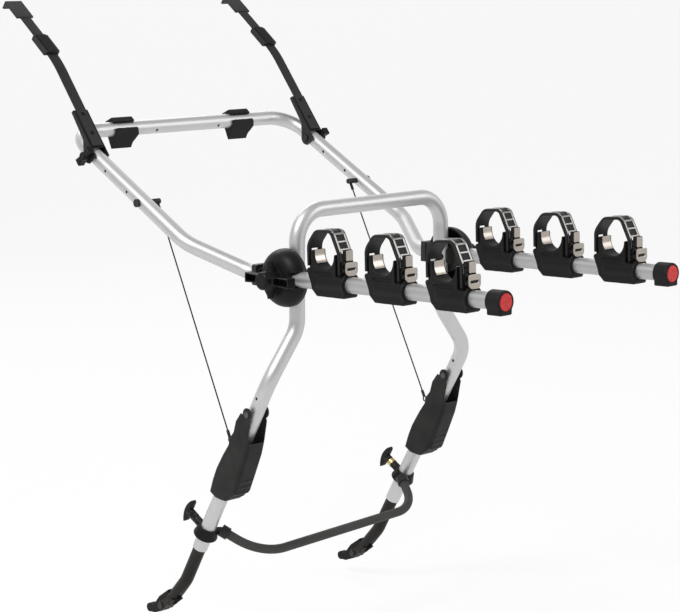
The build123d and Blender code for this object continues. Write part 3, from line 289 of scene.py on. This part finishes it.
def black_paint(name, level, rough, olive=0.0):
    finish = Finish(name, IOR=1.5, Coat_Roughness=0.2, Specular_IOR_Level=0.12)
    orange_peel = finish.noise(420, 1.0)
    corner = finish.node("NewGeometry", "Pointiness")
    chipped = finish.node("MapRange", 0, {"clamp": True}, Value=corner, From_Min=0.56, From_Max=0.66)
    finish.set(
        Base_Color=finish.blend(chipped * 0.5, grey(level, olive), grey(level + 0.06, olive)),
        Roughness=rough + orange_peel * 0.1,
        Coat_Weight=0.03,
    )
    finish.bump(orange_peel, 0.00005, 0.5)
    return finish.material


brass = rolled_plate("brass", (0.72, 0.56, 0.25), 0.24)
steel_plate = rolled_plate("steel_plate", (0.52, 0.47, 0.42), 0.24)
dark_nickel = rolled_plate("dark_nickel", (0.34, 0.33, 0.32), 0.26)
zinc_steel = zinc_plated()
band_paint = black_paint("band_paint", 0.004, 0.38)
print("steels made")

# %% [markdown]
# ## Rubber, reflector and the dark foot tubes
# The bumper bar is a steel rod in a soft rubber sleeve, dull and dark grey. The reflectors are
# clear red discs over a field of tiny prisms, which a fine cell pattern stands for. A faint red
# glow is painted on them for the light that the prisms send back. The feet are tubes with a dark
# olive coat.


# %% Rubber sleeve
def sleeve_rubber():
    finish = Finish("bar_rubber", IOR=1.45)
    pores = finish.noise(900, 3.0, 0.7)
    dust = finish.noise(14, 3.0)
    finish.set(
        Base_Color=finish.blend(dust * 0.7 + pores * 0.3, grey(0.024, 0.03), grey(0.055, 0.04)),
        Roughness=0.6 + pores * 0.2,
    )
    finish.bump(pores, 0.00012, 0.7)
    return finish.material


def prism_red():
    clear = {"Coat_Roughness": 0.05, "Coat_Weight": 0.2, "Specular_IOR_Level": 0.3}
    finish = Finish("red_reflector", IOR=1.49, **clear)
    edges = {"feature": "DISTANCE_TO_EDGE"}
    cells = finish.node("TexVoronoi", "Distance", edges, Vector=finish.place, Scale=520)
    facet = finish.node("MapRange", 0, {"clamp": True}, Value=cells, From_Min=0.0, From_Max=0.25)
    finish.set(
        Base_Color=finish.blend(facet, (0.35, 0.004, 0.006, 1), (0.85, 0.02, 0.02, 1)),
        # A faint painted red glow, in place of the light that the prisms send back
        Emission_Color=(0.6, 0.01, 0.01, 1),
        Emission_Strength=0.04,
        Roughness=0.22,
    )
    finish.bump(facet, 0.0003, 0.6)
    return finish.material


bar_rubber = sleeve_rubber()
red_reflector = prism_red()
foot_coat = black_paint("foot_coat", 0.018, 0.42, 0.12)
cable_coat = black_paint("cable_coat", 0.004, 0.35)
bolt_black = black_paint("bolt_black", 0.012, 0.3)
print("rubber, red and olive made")

# %% [markdown]
# ## Dress the CAD pieces
# A CAD solid has knife-sharp edges. On real mouldings and tubes every edge is softened a
# little, and that thin rounded line catches the light. A bevel modifier on the sharp edges
# adds it, and its hardened normals keep the flats flat. Tubes, bar, cables and reflectors are
# round already, and the pieces of the next step are rounded in another way. They all have a
# width of zero here.

# %% Which finish goes where, and how wide its edges are softened, in metres
dressing = {
    "upper_frame_tube": (silver_tube, 0),
    "lower_frame_tube": (silver_tube, 0),
    "bike_arm_tube": (grey_tube, 0),
    "crossbar_pad": (black_plastic, 0),
    "hub_plate": (black_plastic, 0.0008),
    "hub_axles": (zinc_steel, 0.0004),
    "hub_saddles": (black_plastic, 0.0006),
    "hub_cover": (black_plastic, 0.0008),
    "hub_knob": (knob_plastic, 0),
    "arm_cap": (cap_plastic, 0),
    "reflector": (red_reflector, 0),
    "cradle_base": (black_plastic, 0),
    "cradle_liners": (steel_plate, 0.0003),
    "cradle_strap": (strap_rubber, 0.0008),
    "hook_bracket": (band_paint, 0.0004),
    "hook_pivot_bolts": (bolt_black, 0.0005),
    "hook_knob": (knob_plastic, 0),
    "lower_band": (band_paint, 0.0003),
    "slide_sleeve": (black_plastic, 0.0008),
    "lid_hook": (band_paint, 0.0005),
    "tension_lever": (charcoal_plastic, 0),
    "lever_pins": (charcoal_plastic, 0.0006),
    "cable_eyes": (bolt_black, 0.0002),
    "cable_anchors": (bolt_black, 0.0004),
    "cable": (cable_coat, 0),
    "bumper_bar": (bar_rubber, 0),
    "bar_collars": (black_plastic, 0.0008),
    "clamp_knob": (knob_plastic, 0),
    "foot": (foot_coat, 0.0004),
    "hook_plate": (black_plastic, 0),
}


def family(name):
    """The name that a node shares with its mirror image and its neighbours in a row."""
    for tail in ("_left", "_right"):
        name = name.removesuffix(tail)
    for tail in ("_1", "_2", "_3"):
        name = name.removesuffix(tail)
    return name


def bevelled(piece, name, width):
    """A rounded line along each edge of more than 30 degrees, which is the modifier's own limit."""
    bevel = piece.modifiers.new(name, "BEVEL")
    bevel.width = width
    bevel.segments = 2
    bevel.limit_method = "ANGLE"
    return bevel


def smooth(mesh, sharp_angle):
    """Shade a mesh smoothly, except at edges that turn more than an angle."""
    for face in mesh.polygons:
        face.use_smooth = True
    mesh.set_sharp_from_angle(angle=math.radians(sharp_angle))


# Angles in degrees, above which an edge is shaded sharp or bevelled
SOLID_SHARP, SOLID_BEVEL_LIMIT = 32, 35

for name, piece in nodes.items():
    material, softness = dressing[family(name)]
    piece.data.materials.clear()
    piece.data.materials.append(material)
    smooth(piece.data, SOLID_SHARP)
    if softness:
        bevel = bevelled(piece, "soft_edges", softness)
        bevel.angle_limit = math.radians(SOLID_BEVEL_LIMIT)
        bevel.harden_normals = True
print("dressed", len(nodes), "pieces")

# %% [markdown]
# ## Softly moulded pieces
# Levers, knobs, caps, pads and cradles are rounded all over. A bevel can't do that here, because
# their outlines have short edges where a wide bevel would cross itself. A fine voxel remesh
# followed by a few smoothing passes wears all edges down evenly, as a mould's radii do.

# %% Remesh and smooth the mouldings: a grain in metres and a number of passes
rounding = {
    "tension_lever": (0.0012, 5),
    "hub_knob": (0.0011, 5),
    "hook_knob": (0.0008, 4),
    "clamp_knob": (0.0008, 4),
    "arm_cap": (0.001, 9),
    "cradle_base": (0.0011, 6),
    "crossbar_pad": (0.001, 4),
    "hook_plate": (0.0008, 4),
}
for name, piece in nodes.items():
    if family(name) in rounding:
        grain, passes = rounding[family(name)]
        voxels = piece.modifiers.new("mould_voxels", "REMESH")
        voxels.mode = "VOXEL"
        voxels.voxel_size = grain
        voxels.use_smooth_shade = True
        worn = piece.modifiers.new("mould_radii", "SMOOTH")
        worn.factor = 0.5
        worn.iterations = passes
print("rounded", ", ".join(rounding))

# %% [markdown]
# ## Where things lie in the rack's own directions
# The small trim is drawn where part.py draws the solids: along a bike arm, along a leg, or out
# from the hubs. A helper turns such local sizes, in millimetres, into a place in the frame.
# It keeps each number readable and each piece seated on the solid below it.

# %% Places along the arms and the legs
MM = 0.001
HUB = Vector((0, -574.933, -223.355))
ARM_X, ARM_TILT = 226.0, math.radians(2.2)
LEG_X, LEG_RAKE = 267.0, math.radians(29.6)
HIP_Z = -193.0
CRADLE_FIRST, CRADLE_PITCH = 124.5, 150.0


def on_cradle(side, index, x, forward, up):
    """x across the arm, forward to the hub and up from the arm's centre line at a cradle."""
    run = forward - CRADLE_FIRST - index * CRADLE_PITCH
    y = run * math.cos(ARM_TILT) + up * math.sin(ARM_TILT)
    z = -run * math.sin(ARM_TILT) + up * math.cos(ARM_TILT)
    return (HUB + Vector((side * ARM_X + x, y, z))) * MM


def on_leg(side, x, down, out):
    """x across the leg, down it from the hip bend, and out from it to the car."""
    y = down * math.sin(LEG_RAKE) + out * math.cos(LEG_RAKE)
    z = HIP_Z - down * math.cos(LEG_RAKE) + out * math.sin(LEG_RAKE)
    return (HUB + Vector((side * LEG_X + x, y, z))) * MM


def side_name(side):
    """The name's tail for a side: -1 is left and 1 is right."""
    return "left" if side < 0 else "right"


print("hub axis at", tuple(round(v * MM, 4) for v in HUB))

# %% Rings of points made into skins, and skins made into pieces
# An angle in degrees, above which an edge of the trim is shaded sharp
TRIM_SHARP = 35


def circle(count):
    """The angles of a number of points evenly round a circle."""
    return [2 * math.pi * k / count for k in range(count)]


def skin(made, rings, capped=True):
    """Join each ring of points to the next, and cap the first and the last one."""
    for one, two in zip(rings, rings[1:]):
        for k in range(len(one)):
            on = (k + 1) % len(one)
            made.faces.new((one[k], one[on], two[on], two[k]))
    if capped:
        made.faces.new(rings[0][::-1])
        made.faces.new(rings[-1])


def made_mesh(name, made):
    """Make a mesh of a bmesh, with its faces turned outward."""
    bmesh.ops.recalc_face_normals(made, faces=made.faces)
    mesh = bpy.data.meshes.new(name)
    made.to_mesh(mesh)
    made.free()
    return mesh


def finished(name, mesh, material, body, slot, *replaced):
    """Put a mesh in the scene, dress it, and let it ride on its body."""
    piece = bpy.data.objects.new(name, mesh)
    bpy.context.scene.collection.objects.link(piece)
    mesh.materials.append(material)
    smooth(mesh, TRIM_SHARP)
    if body:
        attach(piece, body)
    if replaced:
        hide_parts(*replaced)
    return piece


def trim(name, made, material, body, slot):
    """A finished piece straight from a bmesh."""
    return finished(name, made_mesh(name, made), material, body, slot)


print("a ring of six points starts", [round(a, 2) for a in circle(6)][:3])

# %% [markdown]
# ## Steel ladders on the straps
# Over each rubber strap runs a thin steel ladder: two rails joined by rungs, in whose windows
# the buckle's tooth catches. It could be one curved sheet with holes cut by a boolean. Here it
# is laid as strips along the strap's own outline, because strips bend with no faces lost.


# %% The strap's outer line, with its rounded corners
def rounded(points, radii, step):
    """Points along straight runs joined by arcs, about a step apart."""
    line = [Vector(points[0])]
    for before, corner, after, radius in zip(points, points[1:], points[2:], radii):
        before, corner, after = Vector(before), Vector(corner), Vector(after)
        back, on = (before - corner).normalized(), (after - corner).normalized()
        half = back.angle(on) / 2
        reach = radius / math.tan(half)
        centre = corner + (back + on).normalized() * radius / math.sin(half)
        start, end = corner + back * reach, corner + on * reach
        arms = start - centre, end - centre
        turn = arms[0].angle(arms[1])
        count = max(2, round(radius * turn / step))
        for k in range(count + 1):
            share = k / count
            sweep = arms[0] * math.sin((1 - share) * turn) + arms[1] * math.sin(share * turn)
            line.append(centre + sweep / math.sin(turn))
    line.append(Vector(points[-1]))
    even = [line[0]]
    for point in line[1:]:
        gap = (point - even[-1]).length
        pieces = max(1, round(gap / step))
        start = even[-1]
        even += [start.lerp(point, (k + 1) / pieces) for k in range(pieces)]
    return even


STRAP_FRONT = [(39.7, 31.0), (39.7, 70.4), (19.85, 94.1)]
STRAP_REAR = [(-20.25, 96.4), (-40.5, 54.5), (-40.5, 19.3)]
STRAP_ROUNDS = [26.0, 13.0, 13.0, 26.0]
STRAP_HALF_THICK, STRAP_STEP = 2.3, 1.5
strap_middle = rounded(STRAP_FRONT + STRAP_REAR, STRAP_ROUNDS, STRAP_STEP)
print("strap line of", len(strap_middle), "points")


# %% Rails and rungs
RAIL_HALF, RAIL_WIDTH, LADDER_THICK = 14.0, 4.2, 1.3
WINDOW, RUNG = 11.0, 4.0
# A rung takes whole steps of the strap's line, so its run has some slack at both ends
RUNG_SLACK_BEFORE, RUNG_SLACK_AFTER = 0.1, 0.8
# The ladder starts at this run along the strap and ends at this height behind it
LADDER_START, LADDER_END_UP = 66.0, 42.0
PRESSED_EDGE = 0.0003


def ladder_span():
    """The run, the place and the outward direction of each point that the ladder covers."""
    run, places = 0.0, []
    for before, after in zip(strap_middle, strap_middle[1:]):
        run += (after - before).length
        if run > LADDER_START and (after.x > 0 or after.y > LADDER_END_UP):
            on = (after - before).normalized()
            away = Vector((on.y, -on.x))
            places.append((run, after + away * STRAP_HALF_THICK, away))
    return places


def add_strip(made, places, low_x, high_x, side, index):
    """A thin closed strip of the ladder between two distances across the strap."""
    rings = []
    for _, at, away in places:
        ring = []
        for x, lift in ((low_x, 0.0), (high_x, 0.0), (high_x, LADDER_THICK), (low_x, LADDER_THICK)):
            forward, up = at + away * lift
            ring.append(made.verts.new(on_cradle(side, index, x, forward, up)))
        rings.append(ring)
    skin(made, rings)


def add_ladder(side, index):
    """Two rails and the rungs between them, on the strap of one cradle."""
    made = bmesh.new()
    places = ladder_span()
    for sign in (-1, 1):
        edges = sorted((sign * RAIL_HALF, sign * (RAIL_HALF - RAIL_WIDTH)))
        add_strip(made, places, edges[0], edges[1], side, index)
    start = places[0][0]
    inner = RAIL_HALF - RAIL_WIDTH
    count = int((places[-1][0] - start) / (WINDOW + RUNG)) + 1
    for k in range(count + 1):
        low = start + k * (WINDOW + RUNG) - RUNG_SLACK_BEFORE
        high = start + k * (WINDOW + RUNG) + RUNG + RUNG_SLACK_AFTER
        rung = [place for place in places if low <= place[0] <= high]
        if len(rung) > 1:
            add_strip(made, rung, -inner, inner, side, index)
    label = f"{index + 1}_{side_name(side)}"
    piece = trim("ladder_" + label, made, dark_nickel, "cradle_strap_" + label, "steel_plate")
    bevelled(piece, "pressed_edge", PRESSED_EDGE)
    return piece


ladders = [add_ladder(side, index) for side in (-1, 1) for index in range(3)]
print("ladders:", len(ladders), "with", len(ladders[0].data.polygons), "faces each")

# %% [markdown]
# ## Buckles
# Behind each strap hang the two bright parts of its buckle: the pawl, a small block whose rear
# face is plated, and the release tongue, a plate with a long slot for a finger. Plates with
# rounded corners are drawn as flat outlines with arcs and given a thickness.


# %% Flat outlines with rounded corners, and holes in them
ARC_STEPS = 6


def corner_arcs(half_x, low, high, low_r, high_r):
    """A rectangle about x = 0 with its own corner radius below and above, counter-clockwise."""
    outline = []
    for cx, cy, radius, start in (
        (half_x - low_r, low + low_r, low_r, -90),
        (half_x - high_r, high - high_r, high_r, 0),
        (high_r - half_x, high - high_r, high_r, 90),
        (low_r - half_x, low + low_r, low_r, 180),
    ):
        for k in range(ARC_STEPS + 1):
            a = math.radians(start + 90 * k / ARC_STEPS)
            outline.append((cx + radius * math.cos(a), cy + radius * math.sin(a)))
    return outline


def plate_between(made, outline, hole, place, back, front):
    """A plate with a hole of as many points. place turns (x, up, depth) into a point."""
    rings = [
        [made.verts.new(place(x, up, depth)) for x, up in line]
        for depth in (back, front)
        for line in (outline, hole)
    ]
    back_out, back_in, front_out, front_in = rings
    skin(made, [back_out, front_out, front_in, back_in, back_out], capped=False)


def solid_plate(made, outline, place, back, front):
    """A plate with no hole."""
    skin(made, [[made.verts.new(place(x, up, depth)) for x, up in outline] for depth in (back, front)])


def soften(piece, width):
    """Round the edges of a piece of trim, with its flats kept flat."""
    bevelled(piece, "soft_edges", width).harden_normals = True


print("plates with corner arcs of", ARC_STEPS, "steps")

# %% Pawls and tongues: half width, low end, high end, corner radius below and above
TONGUE = corner_arcs(15.0, 17.0, 42.0, 9.5, 4.0)
TONGUE_SLOT = corner_arcs(11.5, 27.0, 32.0, 2.4, 2.4)
TONGUE_DEPTH, TONGUE_THICK = -55.7, 1.8
PAWL = corner_arcs(9.5, 43.0, 64.0, 3.0, 3.0)
PAWL_FORE, PAWL_REAR = -43.4, -51.5
PLATING = corner_arcs(8.5, 44.0, 63.0, 2.0, 2.0)
PLATING_THICK = 1.0
PLATE_EDGE, PAWL_EDGE = 0.0005, 0.0008


def add_buckle(side, index):
    """The bright plates of one strap's buckle, and its pawl in front of them."""
    label = f"{index + 1}_{side_name(side)}"
    body = "cradle_strap_" + label

    def place(x, up, depth):
        return on_cradle(side, index, x, depth, up)

    made = bmesh.new()
    plate_between(made, TONGUE, TONGUE_SLOT, place, TONGUE_DEPTH, TONGUE_DEPTH - TONGUE_THICK)
    solid_plate(made, PLATING, place, PAWL_REAR, PAWL_REAR - PLATING_THICK)
    plates = trim("buckle_plates_" + label, made, steel_plate, body, "steel_plate")
    soften(plates, PLATE_EDGE)

    made = bmesh.new()
    solid_plate(made, PAWL, place, PAWL_FORE, PAWL_REAR)
    pawl = trim("buckle_pawl_" + label, made, strap_rubber, body, "black_plastic")
    soften(pawl, PAWL_EDGE)
    return pawl


buckles = [add_buckle(side, index) for side in (-1, 1) for index in range(3)]
print("buckles on", len(buckles), "straps")

# %% [markdown]
# ## Band over the slide sleeve
# On the real rack the steel band runs over the outside of the slide sleeve, and the moulding
# only grips its edges. The solid sleeve closes round both bands, so a flat strip of the band's
# width is laid on its outer face. Its place is read from the sleeve's own largest face.

# %% Bands over the sleeves
BAND_HALF, BAND_THICK, BAND_ROUND, BAND_EDGE = 12.0, 1.6, 1.0, 0.0004
UPWARD, SAME_WAY = 0.5, 0.999


def add_sleeve_band(label):
    """A strip along the upper face of one sleeve. UPWARD and SAME_WAY are cosines."""
    sleeve = nodes["slide_sleeve_" + label]
    turn = sleeve.matrix_world.to_3x3()
    upper = [face for face in sleeve.data.polygons if (turn @ face.normal).z > UPWARD]
    out = (turn @ max(upper, key=lambda face: face.area).normal).normalized()
    flat = [face for face in upper if (turn @ face.normal).normalized().dot(out) > SAME_WAY]
    corners = {index for face in flat for index in face.vertices}
    points = [sleeve.matrix_world @ sleeve.data.vertices[index].co / MM for index in corners]
    along = out.cross(Vector((1, 0, 0))).normalized()
    runs = [point.dot(along) for point in points]
    middle_x = (min(point.x for point in points) + max(point.x for point in points)) / 2
    surface = points[0].dot(out)

    def place(x, run, depth):
        return (Vector((middle_x + x, 0, 0)) + along * run + out * (surface + depth)) * MM

    made = bmesh.new()
    outline = corner_arcs(BAND_HALF, min(runs), max(runs), BAND_ROUND, BAND_ROUND)
    solid_plate(made, outline, place, 0, BAND_THICK)
    body = "hook_bracket_" + label
    strip = trim("sleeve_band_" + label, made, band_paint, body, "black_steel")
    soften(strip, BAND_EDGE)
    return strip


sleeve_bands = [add_sleeve_band(label) for label in ("left", "right")]
print("bands over", len(sleeve_bands), "sleeves")

# %% [markdown]
# ## Twisted cables
# Each steel cable is six strands laid round each other, in a thin black coat. A smooth rod with
# a stripe texture would look flat at its edges, so each strand is a real thin tube that winds
# round the cable's line. The cable joins the two frames; the strands ride on no body and stay
# where they are drawn.

# %% Strands
CABLE_TOP = Vector((261.0, 330.0, 118.31))
CABLE_LOW = Vector((267.0, 109.97, -320.17))
STRANDS, STRAND_R, LAY_R, LAY_PITCH = 6, 0.56, 0.92, 22.0
STRAND_SIDES, STRAND_STEP = 6, 2.2
TOP_FERRULE, LOW_FERRULE = 5.55, 7.05


def add_cable(side):
    """The strands between the two ferrules of one cable."""
    top = Vector((side * CABLE_TOP.x, CABLE_TOP.y, CABLE_TOP.z))
    low = Vector((side * CABLE_LOW.x, CABLE_LOW.y, CABLE_LOW.z))
    down = (low - top).normalized()
    top, low = top + down * TOP_FERRULE, low - down * LOW_FERRULE
    first = down.orthogonal().normalized()
    second = down.cross(first)
    length = (low - top).length
    steps = round(length / STRAND_STEP)
    made = bmesh.new()
    for strand in range(STRANDS):
        rings = []
        for k in range(steps + 1):
            run = length * k / steps
            turn = 2 * math.pi * (run / LAY_PITCH + strand / STRANDS)
            away = first * math.cos(turn) + second * math.sin(turn)
            across = down.cross(away)
            centre = HUB + (top + down * run + away * LAY_R)
            corners = [(away * math.cos(a) + across * math.sin(a)) * STRAND_R for a in circle(STRAND_SIDES)]
            rings.append([made.verts.new((centre + corner) * MM) for corner in corners])
        skin(made, rings)
    label = side_name(side)
    mesh = made_mesh("strands_" + label, made)
    piece = finished("strands_" + label, mesh, cable_coat, None, "cable_steel", "cable_" + label)
    (HUB + top) * MM
    (HUB + low) * MM
    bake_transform(piece)
    return piece


cables = [add_cable(side) for side in (-1, 1)]
print("cables of", STRANDS, "strands,", len(cables[0].data.vertices), "points each")

# %% [markdown]
# ## Fluted necks of the clamp knobs
# Below its crescent grip each clamp knob has a thick neck with six flutes. The outline is a
# circle whose radius rises and falls six times round, drawn at a few heights and skinned.

# %% Necks
NECK_DOWN = {-1: 370.0, 1: 346.0}
NECK_RINGS = ((36.3, 7.3), (37.2, 8.2), (45.0, 8.2), (46.2, 7.4), (47.4, 8.2), (56.0, 8.0), (58.0, 7.2))
FLUTES, FLUTE_DEPTH, NECK_POINTS = 6, 0.7, 72
BUSH_RINGS, BUSH_POINTS = ((36.3, 7.0), (36.3, 9.2), (45.5, 9.2), (45.5, 7.0)), 48


def neck_point(made, side, out, radius, a):
    """A point round a knob's stem, at a distance out from its leg."""
    down = NECK_DOWN[side] + radius * math.sin(a)
    return made.verts.new(on_leg(side, radius * math.cos(a), down, out))


def add_neck(side):
    """One knob's neck, with its flutes."""
    made = bmesh.new()
    rings = []
    for out, radius in NECK_RINGS:
        flutes = [(a, radius + FLUTE_DEPTH * math.cos(FLUTES * a)) for a in circle(NECK_POINTS)]
        rings.append([neck_point(made, side, out, r, a) for a, r in flutes])
    skin(made, rings)
    label = side_name(side)
    return trim("knob_neck_" + label, made, knob_plastic, "clamp_knob_" + label, "black_plastic")


def add_bush():
    """The right knob's brass bush, a plain ring round the foot of its neck."""
    made = bmesh.new()
    rings = [
        [neck_point(made, 1, out, radius, a) for a in circle(BUSH_POINTS)]
        for out, radius in BUSH_RINGS
    ]
    skin(made, rings + rings[:1], capped=False)
    return trim("brass_bush", made, brass, "clamp_knob_right", "steel_plate")


necks = [add_neck(side) for side in (-1, 1)]
bush = add_bush()
print("necks:", len(necks), "and", bush.name)

# %% [markdown]
# ## Floor, light and backdrop
# The photograph is a cut-out on white. Here a pale floor and a pale curved wall stand for that.
# More light on the rack would bleach it, so the white is shown only to the camera's own rays
# and to mirrored and refracted ones. It is mixed in by a share, so that the floor still keeps
# a faint shadow. Three large soft lamps give the long gentle highlights on the tubes, and the
# sky fills in.


# %% Studio: sizes in metres, drawn with the wall toward +Y and then turned to face the camera
WHITE_SHARE = 0.85
FLOOR_GAP = 0.03
FLOOR_FRONT, BEND_START, BEND_R, WALL_TOP = -9, 5, 3, 9
BEND_STEP_DEGREES = 9
STUDIO_HALF_WIDTH = 18
STUDIO_TURN = math.radians(-43.7)


def white_rays(node):
    """One where a ray comes from the camera, a mirror or a glass, and zero elsewhere."""
    either = node("LightPath", "Is Camera Ray")
    for kind in ("Is Glossy Ray", "Is Transmission Ray"):
        either = node("Math", settings={"operation": "MAXIMUM"}, i0=either, i1=node("LightPath", kind))
    return either


def pale_surface():
    """A matt white that is part of its own light and part a plain white."""
    finish = Finish("studio_white", Roughness=0.9, IOR=1.3)
    mottle = finish.noise(1.5, 2.0)
    finish.set(Base_Color=finish.blend(mottle, grey(0.84), grey(0.88)))
    plain = finish.node("Emission", Color=grey(1.0), Strength=1.0)
    lit = Wire(finish.tree, finish.shader.outputs[0])
    mixed = finish.node("MixShader", i0=white_rays(finish.node) * WHITE_SHARE, i1=lit, i2=plain)
    finish.show(mixed, "Material Output")
    return finish.material


def make_studio(low):
    """A floor at a height that bends up into a wall."""
    made = bmesh.new()
    profile = [(FLOOR_FRONT, low)]
    for degrees in range(0, 91, BEND_STEP_DEGREES):
        t = math.radians(degrees)
        profile.append((BEND_START + BEND_R * math.sin(t), low + BEND_R - BEND_R * math.cos(t)))
    profile.append((BEND_START + BEND_R, low + WALL_TOP))
    rows = []
    turn = Matrix.Rotation(STUDIO_TURN, 4, "Z")
    for x in (-STUDIO_HALF_WIDTH, STUDIO_HALF_WIDTH):
        rows.append([made.verts.new(turn @ Vector((x, y, z))) for y, z in profile])
    for k in range(len(profile) - 1):
        made.faces.new((rows[0][k], rows[0][k + 1], rows[1][k + 1], rows[1][k]))
    mesh = bpy.data.meshes.new("studio")
    made.to_mesh(mesh)
    made.free()
    studio = bpy.data.objects.new("studio", mesh)
    bpy.context.scene.collection.objects.link(studio)
    for face in mesh.polygons:
        face.use_smooth = True
    mesh.materials.append(pale_surface())
    return studio


floor_height = cad_box[0][2] - FLOOR_GAP
studio = make_studio(floor_height)
print(studio.name, "floor at", round(floor_height, 3))


# %% Lamps and sky
SKY_STRENGTH, SKY_WHITE = 0.48, 0.94


def lamp(name, place, target, size, watts):
    """A flat lamp at a place, turned to a target."""
    light = bpy.data.lights.new(name, "AREA")
    light.shape = "RECTANGLE"
    light.size, light.size_y = size
    light.energy = watts
    holder = bpy.data.objects.new(name, light)
    holder.location = place
    holder.rotation_euler = (Vector(target) - Vector(place)).to_track_quat("-Z", "Y").to_euler()
    bpy.context.scene.collection.objects.link(holder)


def make_sky():
    """A dim white light from all round, and a bright white for the camera's own rays."""
    sky = bpy.data.worlds.new("sky")
    bpy.context.scene.world = sky
    sky.use_nodes = True
    nodes_of_sky = Nodes(sky.node_tree)
    light = nodes_of_sky.node("Background", Color=grey(1.0), Strength=SKY_STRENGTH)
    white = nodes_of_sky.node("Background", Color=grey(1.0), Strength=SKY_WHITE)
    rays = nodes_of_sky.node("LightPath", "Is Camera Ray")
    nodes_of_sky.show(nodes_of_sky.node("MixShader", i0=rays, i1=light, i2=white), "World Output")


lamp("key", (-3.6, -0.6, 3.6), (0, -0.5, -0.2), (1.8, 1.4), 190)
lamp("fill", (2.6, -3.8, 1.6), (0, -0.4, -0.3), (2.4, 2.4), 55)
lamp("rim", (1.5, 3.2, 2.6), (0, -0.3, -0.2), (3.0, 1.2), 60)
make_sky()
bpy.context.scene.view_settings.view_transform = "Standard"
print("lamps and sky ready")
